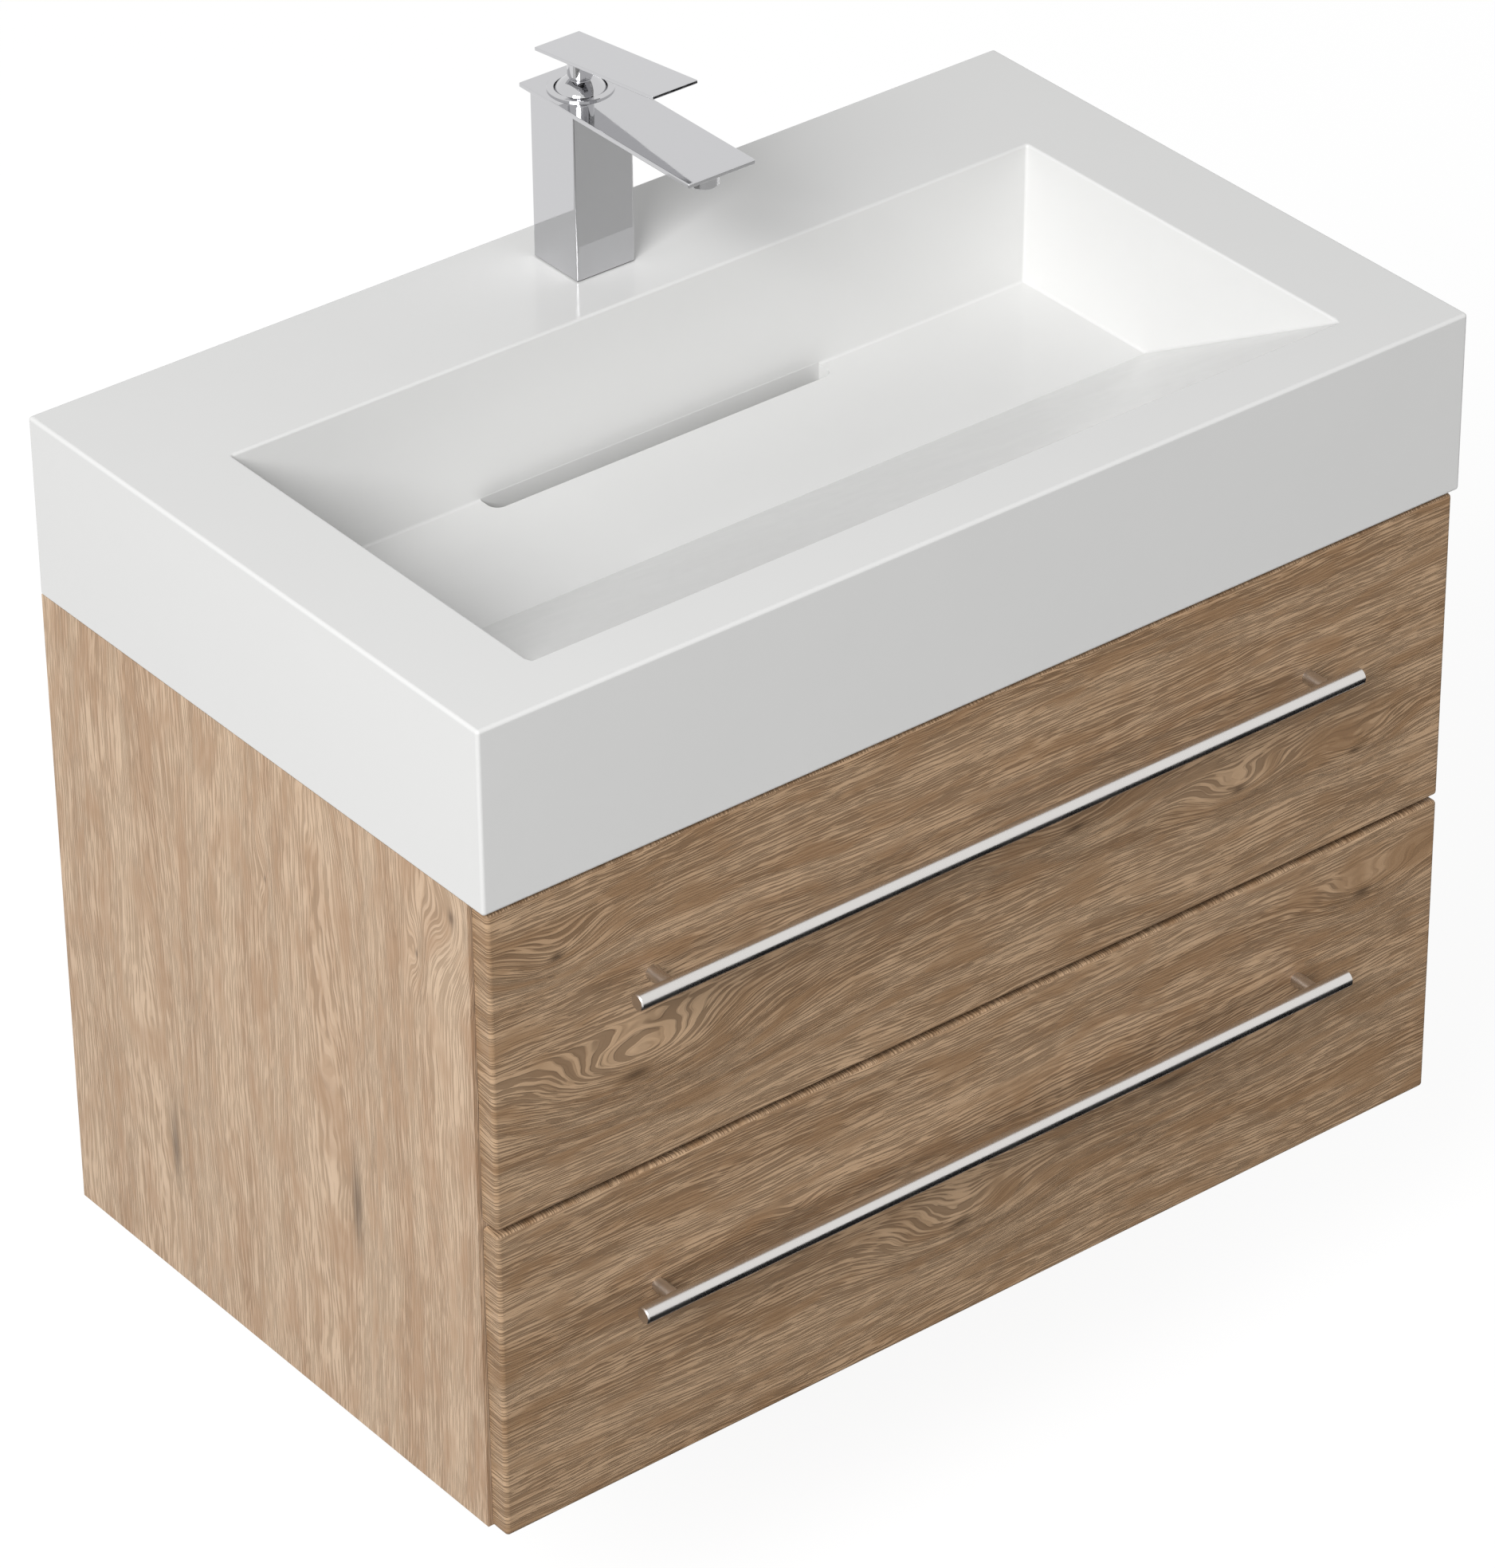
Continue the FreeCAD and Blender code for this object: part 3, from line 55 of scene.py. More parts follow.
# ---------------------------------------------------------------- properties

def linear(red, green, blue):
    """A display colour, 0 to 255, as scene-linear red, green and blue."""
    shares = (value / 255 for value in (red, green, blue))
    return tuple(share / 12.92 if share <= 0.04045 else ((share + 0.055) / 1.055) ** 2.4
                 for share in shares)


def colour_property(name, description, red, green, blue):
    """A colour that a user can change, given as it shows on a display."""
    return FloatVectorProperty(name=name, description=description, subtype="COLOR",
                               min=0, max=1, default=linear(red, green, blue))


class VANITY_PG_finishes(bpy.types.PropertyGroup):
    """Colours of the vanity's materials."""
    cast: colour_property("Cast", "Mineral cast of the washbasin", 223, 223, 222)
    side_pale: colour_property("Side, pale", "Pale wood of the side panels", 207, 180, 152)
    side_deep: colour_property("Side, deep", "Deep wood of the side panels", 181, 149, 120)
    front_pale: colour_property("Front, pale", "Pale wood of the fronts", 187, 157, 126)
    front_deep: colour_property("Front, deep", "Deep wood of the fronts", 151, 119, 88)
    board: colour_property("Board", "Coated board of the drawer boxes", 214, 213, 210)
    beech: colour_property("Beech", "Raw beech of the dowels", 214, 182, 140)
    steel: colour_property("Steel", "Brushed steel of the handles", 218, 215, 212)
    zinc: colour_property("Zinc", "Zinc plate of the runners and screws", 196, 198, 201)
    chrome: colour_property("Chrome", "Polished chrome of the mixer", 200, 200, 202)
    brass: colour_property("Brass", "Raw brass inside the mixer", 214, 176, 104)
    white_plastic: colour_property("White plastic", "Plastic of the drain", 222, 222, 219)
    grey_plastic: colour_property("Grey plastic", "Plastic inside the mixer", 120, 123, 126)
    rubber: colour_property("Rubber", "Seals", 34, 34, 35)


class VANITY_PG_fittings(bpy.types.PropertyGroup):
    """Sizes of the thread on the waste tail and of the buffers behind the fronts."""
    thread_diameter: FloatProperty(name="Thread diameter", description="Outside of the waste tail",
                                   default=0.04191, unit="LENGTH")
    thread_length: FloatProperty(name="Thread length", description="Threaded end of the waste tail",
                                 default=0.042, unit="LENGTH")
    thread_start: FloatProperty(name="Thread start", description="Thread above the tail's end",
                                default=0.0015, unit="LENGTH")
    thread_pitch: FloatProperty(name="Thread pitch", description="Rise of the thread in one turn",
                                default=0.0023, unit="LENGTH")
    thread_ridge: FloatProperty(name="Thread ridge", description="Half the width of the ridge",
                                default=0.00055, unit="LENGTH")
    buffer_radius: FloatProperty(name="Buffer radius", description="Radius of a buffer's dome",
                                 default=0.004, unit="LENGTH")
    buffer_height: FloatProperty(name="Buffer height", description="How far a buffer stands out",
                                 default=0.00105, unit="LENGTH")
    buffer_inset: FloatProperty(name="Buffer inset", description="Buffer from a front's long edge",
                                default=0.02, unit="LENGTH")
    buffer_count: IntProperty(name="Buffers", description="Buffers at each end of a front",
                              default=2, min=1)


class VANITY_PG_studio(bpy.types.PropertyGroup):
    """The camera, the lamps and the floor."""
    camera_place: FloatVectorProperty(
        name="Camera place", description="Where the camera stands", subtype="TRANSLATION",
        unit="LENGTH", default=(-2.5476, -3.4939, 2.6089))
    camera_turn: FloatVectorProperty(
        name="Camera turn", description="How the camera is turned", subtype="EULER",
        default=tuple(math.radians(angle) for angle in (56.9625, 0.4956, -38.2749)))
    lens: FloatProperty(name="Lens", description="Focal length on a 36 mm frame, in mm",
                        default=170.0, min=10)
    counter: FloatProperty(name="Counter height", description="Rim of the basin above the floor",
                           default=0.85, unit="LENGTH")
    lamp_power: FloatProperty(name="Lamp power", description="Power of the soft box", default=455,
                              unit="POWER")
    lamp_size: FloatProperty(name="Lamp size", description="Side of the soft box", default=3.2,
                             unit="LENGTH")
    lamp_distance: FloatProperty(name="Lamp distance", description="Soft box from the vanity",
                                 default=7.0, unit="LENGTH")
    fill_power: FloatProperty(name="Fill power", description="Power of the low lamp in front",
                              default=8.0, unit="POWER")
    room_light: FloatProperty(name="Room light", description="Even light from all round",
                              default=0.385, min=0)


# ---------------------------------------------------------------- node trees

class Tree:
    """Adds nodes to a tree and links them, so that a finish reads like a formula."""

    def __init__(self, tree):
        self.tree = tree

    def add(self, kind, inputs=None, **settings):
        """A node with its settings made and its inputs set or linked."""
        node = self.tree.nodes.new(kind)
        for name, value in settings.items():
            setattr(node, name, value)
        for name, value in (inputs or {}).items():
            if isinstance(value, bpy.types.NodeSocket):
                self.tree.links.new(value, node.inputs[name])
            else:
                node.inputs[name].default_value = value
        return node

    def math(self, operation, first, second=0.0, clamp=False):
        """The result of a sum, product or other operation."""
        return self.add("ShaderNodeMath", {0: first, 1: second}, operation=operation,
                        use_clamp=clamp).outputs[0]

    def total(self, *terms):
        """The sum of several values."""
        result = terms[0]
        for term in terms[1:]:
            result = self.math("ADD", result, term)
        return result

    def vector(self, x=0.0, y=0.0, z=0.0):
        """A vector of three values."""
        return self.add("ShaderNodeCombineXYZ", {0: x, 1: y, 2: z}).outputs[0]

    def noise(self, vector, scale=1.0, detail=2.0, roughness=0.5):
        """Smooth noise from 0 to 1."""
        inputs = {"Vector": vector, "Scale": scale, "Detail": detail, "Roughness": roughness}
        return self.add("ShaderNodeTexNoise", inputs).outputs[0]

    def spread(self, value, low, high, to_low=0.0, to_high=1.0):
        """A value taken from one range to another and kept inside it."""
        inputs = {"Value": value, "From Min": low, "From Max": high, "To Min": to_low,
                  "To Max": to_high}
        return self.add("ShaderNodeMapRange", inputs, interpolation_type="SMOOTHSTEP").outputs[0]

    def mix(self, share, first, second, blend="MIX"):
        """Two colours mixed."""
        return self.add("ShaderNodeMix", {0: share, 6: first, 7: second}, data_type="RGBA",
                        blend_type=blend).outputs[2]

    def choose(self, share, first, second):
        """Two values mixed."""
        return self.add("ShaderNodeMix", {0: share, 2: first, 3: second},
                        data_type="FLOAT").outputs[0]

    def bump(self, height, distance):
        """A normal tipped by a height, in metres at full height."""
        return self.add("ShaderNodeBump", {"Height": height, "Distance": distance}).outputs[0]

    def place(self):
        """The point's place on the object, in metres, and its three parts."""
        socket = self.add("ShaderNodeTexCoord").outputs["Object"]
        return socket, self.add("ShaderNodeSeparateXYZ", {0: socket}).outputs

    def facing(self):
        """The three parts of the surface's own normal."""
        socket = self.add("ShaderNodeTexCoord").outputs["Normal"]
        return self.add("ShaderNodeSeparateXYZ", {0: socket}).outputs


def solid(colour):
    """A property's colour with full alpha."""
    return (*colour, 1.0)


def shade(colour, share):
    """A colour made darker or lighter."""
    return tuple(min(1.0, part * share) for part in colour[:3]) + (1.0,)


def finish(name, build):
    """A material whose surface the build function makes on an empty tree."""
    material = bpy.data.materials.new(name)
    material.use_nodes = True
    material.node_tree.nodes.clear()
    tree = Tree(material.node_tree)
    tree.add("ShaderNodeOutputMaterial", {"Surface": build(tree)})
    return material


def surface(tree, inputs):
    """The general surface shader."""
    return tree.add("ShaderNodeBsdfPrincipled", inputs).outputs[0]


def looks():
    """The colours that the user set."""
    return bpy.context.scene.vanity_finishes


def fittings():
    """The sizes of the small fittings that the user set."""
    return bpy.context.scene.vanity_fittings


def dress(names, material):
    """Give CAD nodes a material."""
    for name in names:
        slots = NODES[name].data.materials
        slots.clear()
        slots.append(material)


# ---------------------------------------------------------------- finishes

def cast_finish(tree):
    """Glossy mineral cast: nearly even white with a faint cloudiness and an eggshell waviness."""
    point, _ = tree.place()
    cloud = tree.noise(point, 14, 3)
    colour = tree.mix(cloud, shade(looks().cast, 0.985), solid(looks().cast))
    grain = tree.noise(point, 900, 2)
    wave = tree.noise(point, 22, 1)
    height = tree.total(tree.math("MULTIPLY", grain, 0.06), wave)
    return surface(tree, {
        "Base Color": colour,
        "Roughness": tree.spread(cloud, 0.3, 0.7, 0.13, 0.2),
        "Normal": tree.bump(height, 0.00012),
    })


def oak(tree, along, across, pale, deep, knots, seed, relief, painted_relief_light):
    """Embossed oak decor, by the lengths along and across its grain in metres, with painted shade
    in its grooves and a painted highlight on its ridges.

    Each knot is a hump in the grain: its place along and across, its half length, half width and
    height, all in millimetres. The grain runs round it in arches.
    """
    a = tree.math("MULTIPLY", along, 1000)
    c = tree.math("MULTIPLY", across, 1000)

    def grain(length, width, source, level, detail=1.0):
        """Noise whose spots have this length and width."""
        point = tree.vector(tree.math("DIVIDE", a, length), tree.math("DIVIDE", source, width),
                            seed + level)
        return tree.noise(point, 1.0, detail)

    def swing(value, reach):
        """Noise made even about 0, with this reach to each side."""
        return tree.math("MULTIPLY", tree.math("SUBTRACT", value, 0.5), 2 * reach)

    line = tree.total(c, swing(grain(300, 62, c, 0), 15), swing(grain(46, 16, c, 5), 1.8))
    eyes = 0.0
    for knot_a, knot_c, half_length, half_width, height in knots:
        near_a = tree.math("DIVIDE", tree.math("SUBTRACT", a, knot_a), half_length)
        near_c = tree.math("DIVIDE", tree.math("SUBTRACT", c, knot_c), half_width)
        gap = tree.math("ADD", tree.math("MULTIPLY", near_a, near_a),
                        tree.math("MULTIPLY", near_c, near_c))
        hump = tree.math("EXPONENT", tree.math("MULTIPLY", gap, -1.0))
        line = tree.math("ADD", line, tree.math("MULTIPLY", hump, height))
        eye = tree.math("EXPONENT", tree.math("MULTIPLY", gap, -60.0))
        eyes = tree.math("ADD", eye, eyes)

    bands = grain(420, 30, line, 11, 2.0)
    patches = grain(52, 15, line, 17, 2.0)
    rows = grain(70, 1.05, line, 19, 0.0)
    ticks = grain(15, 0.78, line, 23, 0.0)
    hairs = grain(20, 0.36, line, 31, 0.0)
    tone = tree.total(tree.math("MULTIPLY", bands, 0.5), tree.math("MULTIPLY", patches, 0.5))
    colour = tree.mix(tree.spread(tone, 0.39, 0.62), solid(pale), solid(deep))
    colour = tree.mix(tree.spread(hairs, 0.5, 0.75, 0.0, 0.3), colour, shade(deep, 0.66))
    cut = tree.total(tree.math("MULTIPLY", rows, 0.6), tree.math("MULTIPLY", ticks, 0.4))
    depth = tree.spread(patches, 0.64, 0.5, 0.3, 1.0)
    # Grooves: sunk pores, painted darker, partly their own darker colour and partly painted shade.
    # Ridges: raised, painted lighter as a painted highlight.
    pores_with_painted_shade = tree.math("MULTIPLY", tree.spread(cut, 0.515, 0.56), depth)
    ridges_with_painted_highlight = tree.math("MULTIPLY", tree.spread(cut, 0.485, 0.44), depth)
    # Painted shade darkens the grooves and a painted highlight lightens the ridges, as strongly as
    # the last argument says.
    colour = tree.mix(tree.math("MULTIPLY", pores_with_painted_shade, painted_relief_light), colour, shade(deep, 0.5))
    colour = tree.mix(tree.math("MULTIPLY", ridges_with_painted_highlight, painted_relief_light * 0.8), colour, shade(pale, 1.25))
    colour = tree.mix(tree.math("MULTIPLY", eyes, 0.8, True), colour, shade(deep, 0.3))
    height = tree.math("SUBTRACT", tree.math("MULTIPLY", ridges_with_painted_highlight, 0.5), pores_with_painted_shade)
    return surface(tree, {
        "Base Color": colour,
        "Roughness": tree.spread(cut, 0.4, 0.6, 0.42, 0.62),
        "Specular IOR Level": 0.35,
        "Normal": tree.bump(height, relief),
    })


SIDE_KNOTS = [(15, -243, 22, 7, 9), (45, -407, 26, 9, 12), (91, -445, 45, 26, 26),
              (-190, -330, 260, 40, 30), (-260, -120, 230, 34, 22)]
FRONT_KNOTS = [(-286, -57, 105, 32, 38), (-345, 57, 42, 22, 20), (-159, -219, 20, 6, 5),
               (-21, -294, 75, 26, 28), (72, -22, 70, 20, 17), (214, -50, 48, 20, 19),
               (317, -61, 50, 16, 13), (160, -262, 150, 30, 22), (330, -180, 60, 24, 17)]


def side_finish(tree):
    """Oak with an upright grain for the two side panels; it goes on round their narrow faces."""
    _, (x, y, z) = tree.place()
    across = tree.math("ADD", y, tree.math("ABSOLUTE", x))
    across = tree.math("SUBTRACT", across, -side_low.x)
    return oak(tree, z, across, looks().side_pale, looks().side_deep, SIDE_KNOTS, 3.0,
               0.00018, 0.36)


def front_finish(tree):
    """Oak with a level grain that goes on round a front's ends and stands across its long edges."""
    _, (x, y, z) = tree.place()
    facing = tree.facing()
    back = tree.math("SUBTRACT", y, front_face_y)
    outward = tree.math("SIGN", x)
    along = tree.math("ADD", x, tree.math("MULTIPLY", outward, back))
    edge = tree.math("GREATER_THAN", tree.math("ABSOLUTE", facing[2]), 0.6)
    along = tree.choose(edge, along, back)
    across = tree.choose(edge, z, x)
    return oak(tree, along, across, looks().front_pale, looks().front_deep, FRONT_KNOTS, 8.0,
               0.00042, 0.58)


def carcass_finish(tree):
    """The oak decor of the boards between the side panels, with a level grain."""
    _, (x, y, z) = tree.place()
    return oak(tree, x, tree.math("ADD", y, z), looks().side_pale, looks().side_deep, [], 21.0,
               0.00022, 0.42)


def board_finish(tree):
    """Coated chipboard with a fine linen texture."""
    point, (x, y, z) = tree.place()
    warp = tree.noise(tree.vector(tree.total(x, y), tree.math("MULTIPLY", z, 12), 0.0), 1400, 1)
    weft = tree.noise(tree.vector(tree.math("MULTIPLY", tree.total(x, y), 12), z, 4.0), 1400, 1)
    linen = tree.math("MULTIPLY", tree.total(warp, weft), 0.5)
    fleck = tree.noise(point, 700, 2)
    colour = tree.mix(tree.spread(linen, 0.35, 0.65), shade(looks().board, 0.93),
                      solid(looks().board))
    colour = tree.mix(tree.spread(fleck, 0.62, 0.75, 0.0, 0.2), colour,
                      shade(looks().board, 0.7))
    return surface(tree, {"Base Color": colour,
                          "Roughness": tree.spread(linen, 0.3, 0.7, 0.4, 0.55),
                          "Normal": tree.bump(linen, 0.0001)})


def beech_finish(tree):
    """Raw beech with short flecks along the dowel."""
    _, (x, y, z) = tree.place()
    fleck = tree.noise(tree.vector(tree.math("MULTIPLY", x, 120),
                                   tree.math("MULTIPLY", y, 1500),
                                   tree.math("MULTIPLY", z, 1500)), 1.0, 2)
    colour = tree.mix(tree.spread(fleck, 0.4, 0.7), solid(looks().beech),
                      shade(looks().beech, 0.7))
    return surface(tree, {"Base Color": colour, "Roughness": tree.spread(fleck, 0, 1, 0.6, 0.8),
                          "Normal": tree.bump(fleck, 0.0001)})


def brushed_finish(tree):
    """Stainless steel brushed round the bars in short scratches."""
    _, (x, y, z) = tree.place()
    scratches = tree.noise(tree.vector(tree.math("MULTIPLY", x, 900),
                                       tree.math("MULTIPLY", y, 5200),
                                       tree.math("MULTIPLY", z, 5200)), 1.0, 2)
    cloud = tree.noise(tree.vector(tree.math("MULTIPLY", x, 40), y, z), 1.0, 3)
    colour = tree.mix(scratches, shade(looks().steel, 0.96), solid(looks().steel))
    roughness = tree.total(tree.spread(scratches, 0.3, 0.7, 0.25, 0.28),
                           tree.spread(cloud, 0.3, 0.7, -0.03, 0.03))
    return surface(tree, {"Base Color": colour, "Metallic": 1.0, "Roughness": roughness,
                          "Normal": tree.bump(scratches, 0.000001)})


def chrome_finish(tree):
    """Polished chrome with the faint waviness of a cast and plated body."""
    point, _ = tree.place()
    wave = tree.noise(point, 35, 1)
    haze = tree.noise(point, 260, 3)
    return surface(tree, {
        "Base Color": tree.mix(haze, shade(looks().chrome, 0.98), solid(looks().chrome)),
        "Metallic": 1.0, "Roughness": tree.spread(haze, 0.3, 0.7, 0.03, 0.07),
        "Normal": tree.bump(wave, 0.00006)})


def metal_finish(name, colour, low, high):
    """A maker for plated or raw metal with a mottled sheen."""
    def build(tree):
        point, _ = tree.place()
        mottle = tree.noise(point, 180, 4, 0.6)
        fine = tree.noise(point, 1600, 2)
        tint = tree.mix(mottle, shade(colour(), 0.85), solid(colour()))
        return surface(tree, {"Base Color": tint, "Metallic": 1.0,
                              "Roughness": tree.spread(mottle, 0.3, 0.7, low, high),
                              "Normal": tree.bump(fine, 0.00002)})
    return finish(name, build)


def moulded_finish(name, colour, rough):
    """A maker for moulded plastic or rubber with a fine eroded texture."""
    def build(tree):
        point, _ = tree.place()
        erosion = tree.noise(point, 1300, 3)
        cloud = tree.noise(point, 30, 2)
        tint = tree.mix(cloud, shade(colour(), 0.94), solid(colour()))
        gloss = tree.spread(erosion, 0.3, 0.7, rough - 0.06, rough + 0.06)
        return surface(tree, {"Base Color": tint, "Roughness": gloss,
                              "Normal": tree.bump(erosion, 0.00006)})
    return finish(name, build)


# ---------------------------------------------------------------- grown pieces

class Growth:
    """A piece that a geometry node tree makes from named inputs, turned into a plain mesh."""

    def __init__(self, name):
        self.name = name
        self.group = bpy.data.node_groups.new(name, "GeometryNodeTree")
        self.group.interface.new_socket("Geometry", in_out="OUTPUT",
                                        socket_type="NodeSocketGeometry")
        self.tree = Tree(self.group)
        self.source = self.tree.add("NodeGroupInput")
        self.values = {}

    def input(self, name, value, kind="NodeSocketFloat"):
        """A named input of the tree with the value that this piece gives it."""
        socket = self.group.interface.new_socket(name, in_out="INPUT", socket_type=kind)
        self.values[socket.identifier] = value
        return self.source.outputs[name]

    def finish(self, geometry, material, body, slot):
        """Realise the shape, make it one plain mesh, and let it ride on its body."""
        real = self.tree.add("GeometryNodeRealizeInstances", {0: geometry}).outputs[0]
        shown = self.tree.add("GeometryNodeSetMaterial", {"Geometry": real,
                                                          "Material": material}).outputs[0]
        self.tree.add("NodeGroupOutput", {0: shown})
        piece = bpy.data.objects.new(self.name, bpy.data.meshes.new(f"{self.name}_start"))
        bpy.context.scene.collection.objects.link(piece)
        modifier = piece.modifiers.new("growth", "NODES")
        modifier.node_group = self.group
        for identifier, value in self.values.items():
            modifier[identifier] = value
        graph = bpy.context.evaluated_depsgraph_get()
        mesh = bpy.data.meshes.new_from_object(piece.evaluated_get(graph))
        if not mesh.polygons:
            raise RuntimeError(f"{self.name} grew no faces")
        piece.modifiers.remove(modifier)
        piece.data = mesh
        mesh.materials.clear()
        mesh.materials.append(material)
        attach(piece, body)
        return piece


THREAD_STEPS = 48
THREAD_SIDES = 6


def grow_thread(name, place, sizes, body, slot, material):
    """A thread's ridge: a small round profile swept along a spiral about an upright axis."""
    growth = Growth(name)
    turns = growth.input("Turns", sizes.thread_length / sizes.thread_pitch)
    around = growth.input("Radius", sizes.thread_diameter / 2)
    height = growth.input("Length", sizes.thread_length)
    profile = growth.input("Ridge", sizes.thread_ridge)
    spiral = growth.tree.add("GeometryNodeCurveSpiral", {
        "Resolution": THREAD_STEPS, "Rotations": turns, "Start Radius": around,
        "End Radius": around, "Height": height}).outputs[0]
    ring = growth.tree.add("GeometryNodeCurvePrimitiveCircle", {
        "Resolution": THREAD_SIDES, "Radius": profile}).outputs[0]
    swept = growth.tree.add("GeometryNodeCurveToMesh", {
        "Curve": spiral, "Profile Curve": ring, "Fill Caps": True}).outputs[0]
    moved = growth.tree.add("GeometryNodeTransform", {
        "Geometry": swept, "Translation": place}).outputs[0]
    return growth.finish(moved, material, body, slot)


# ---------------------------------------------------------------- operators

DRAWERS = ("upper", "lower")
SIDES = ("left", "right")


class VANITY_OT_washbasin(bpy.types.Operator):
    """Give the washbasin its glossy mineral cast"""
    bl_idname = "vanity.washbasin"
    bl_label = "Washbasin"

    def execute(self, context):
        dress(["washbasin"], finish("mineral_cast", cast_finish))
        return {"FINISHED"}


class VANITY_OT_cabinet(bpy.types.Operator):
    """Give the cabinet's boards their oak decor and the dowels their beech"""
    bl_idname = "vanity.cabinet"
    bl_label = "Cabinet"

    def execute(self, context):
        dress([f"{side}_side_panel" for side in SIDES], finish("cabinet_decor", side_finish))
        dress(["bottom_panel", "upper_back_rail", "lower_back_rail", "front_rail"],
              finish("carcass_board", carcass_finish))
        dress(["cabinet_dowels"], finish("beech_dowel", beech_finish))
        return {"FINISHED"}


class VANITY_OT_drawers(bpy.types.Operator):
    """Give the drawer fronts their embossed oak and the boxes their coated board"""
    bl_idname = "vanity.drawers"
    bl_label = "Drawers"

    def execute(self, context):
        dress([f"{drawer}_front" for drawer in DRAWERS], finish("front_decor", front_finish))
        boards = [f"{drawer}_drawer_{part}" for drawer in DRAWERS
                  for part in ("left_side", "right_side", "bottom", "back")]
        dress([*boards, "upper_siphon_wall"], finish("drawer_board", board_finish))
        return {"FINISHED"}


class VANITY_OT_handles(bpy.types.Operator):
    """Give the handles their brushed steel"""
    bl_idname = "vanity.handles"
    bl_label = "Handles"

    def execute(self, context):
        dress([f"{drawer}_handle_{part}" for drawer in DRAWERS for part in ("bar", "posts")],
              finish("handle_steel", brushed_finish))
        return {"FINISHED"}


class VANITY_OT_steelware(bpy.types.Operator):
    """Give runners, hangers and screws their zinc plate"""
    bl_idname = "vanity.steelware"
    bl_label = "Runners and fixings"

    def execute(self, context):
        zinc = metal_finish("zinc_steel", lambda: looks().zinc, 0.28, 0.42)
        rails = [f"{drawer}_{side}_{rail}_rail" for drawer in DRAWERS for side in SIDES
                 for rail in ("outer", "middle", "inner")]
        dress([*rails, "board_screws", "wall_plates", "hangers", "upper_handle_screws",
               "lower_handle_screws", "clamp_plate", "lever_grub_screw", "tilt_pin",
               "mounting_stud"], zinc)
        return {"FINISHED"}


class VANITY_OT_mixer(bpy.types.Operator):
    """Give the mixer its chrome, and what it holds its brass, plastic and rubber"""
    bl_idname = "vanity.mixer"
    bl_label = "Mixer"

    def execute(self, context):
        dress(["mixer_body", "trim_ring", "dome_cap", "lever"], finish("chrome", chrome_finish))
        dress(["cartridge_nut", "stud_nut", "spindle"],
              metal_finish("brass", lambda: looks().brass, 0.25, 0.4))
        dress(["cartridge", "cartridge_rotor", "aerator"],
              moulded_finish("grey_plastic", lambda: looks().grey_plastic, 0.5))
        dress(["waste_seal", "base_seal", "clamp_rubber"],
              moulded_finish("black_rubber", lambda: looks().rubber, 0.75))
        return {"FINISHED"}


class VANITY_OT_drain(bpy.types.Operator):
    """Give the drain its white plastic, and its tail the thread that the siphon screws onto"""
    bl_idname = "vanity.drain"
    bl_label = "Drain"

    def execute(self, context):
        plastic = moulded_finish("white_plastic", lambda: looks().white_plastic, 0.42)
        dress(["slot_drain_trough", "waste_tail", "waste_nut"], plastic)
        low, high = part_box("waste_tail")
        middle = (low + high) / 2
        grow_thread("waste_thread", (middle.x, middle.y, low.z + fittings().thread_start),
                    fittings(), "cabinet", "white_plastic", plastic)
        return {"FINISHED"}


class VANITY_OT_buffers(bpy.types.Operator):
    """Add the soft domes that a closed front rests on, in its gap to the side panels"""
    bl_idname = "vanity.buffers"
    bl_label = "Front buffers"

    def execute(self, context):
        sizes = fittings()
        inset = sizes.buffer_inset
        growth = Growth("front_buffers")
        tree = growth.tree
        radius = growth.input("Radius", sizes.buffer_radius)
        height = growth.input("Height", sizes.buffer_height)
        count = growth.input("Count", sizes.buffer_count, "NodeSocketInt")
        dome = tree.add("GeometryNodeMeshUVSphere", {"Segments": 24, "Rings": 12,
                                                     "Radius": radius}).outputs[0]
        scale = tree.vector(1.0, tree.math("DIVIDE", height, radius), 1.0)
        rows = []
        for node in (f"{drawer}_front" for drawer in DRAWERS):
            low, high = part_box(node)
            for x in ((side_low.x + side_high.x) / 2, -(side_low.x + side_high.x) / 2):
                step = (0.0, 0.0, high.z - low.z - 2 * inset)
                start = (x, side_low.y, low.z + inset)
                rows.append(tree.add("GeometryNodeMeshLine", {
                    "Count": count, "Start Location": start, "Offset": step}).outputs[0])
        joined = tree.add("GeometryNodeJoinGeometry")
        for row in rows:
            tree.tree.links.new(row, joined.inputs[0])
        domes = tree.add("GeometryNodeInstanceOnPoints", {
            "Points": joined.outputs[0], "Instance": dome, "Scale": scale}).outputs[0]
        growth.finish(domes, moulded_finish("buffer_plastic", lambda: looks().white_plastic, 0.3),
                      "cabinet", "white_plastic")
        return {"FINISHED"}


# ---------------------------------------------------------------- studio

FLOOR_SIZE = 14.0
# Size, place and lift of the black cloth that is seen only in reflections, where it paints a dark
# reflection.
CLOTH_WIDTH, CLOTH_DEPTH, CLOTH_LIFT = 4.0, 2.6, 0.02
CLOTH_PLACE = (1.0, -1.75)
FILL_PLACE, FILL_LIFT, FILL_SIZE = (1.2, -2.2), 0.25, 0.9
KEY_DIRECTION = Vector((-0.693, -0.431, 0.575)).normalized()


def sheet(name, width, depth, middle, normal, material):
    """A flat rectangle that belongs to the studio."""
    mesh = bpy.data.meshes.new(name)
    w, d = width / 2, depth / 2
    turn = Vector(normal).to_track_quat("Z", "Y")
    corners = [turn @ Vector(corner) + Vector(middle)
               for corner in ((-w, -d, 0), (w, -d, 0), (w, d, 0), (-w, d, 0))]
    mesh.from_pydata(corners, [], [(0, 1, 2, 3)])
    mesh.materials.append(material)
    piece = bpy.data.objects.new(name, mesh)
    bpy.context.scene.collection.objects.link(piece)
    return piece


def seen_directly(tree):
    """1 for what the camera sees straight, in a reflection or through glass, else 0."""
    path = tree.add("ShaderNodeLightPath").outputs
    seen = tree.math("MAXIMUM", path["Is Camera Ray"], path["Is Glossy Ray"])
    return tree.math("MAXIMUM", seen, path["Is Transmission Ray"])


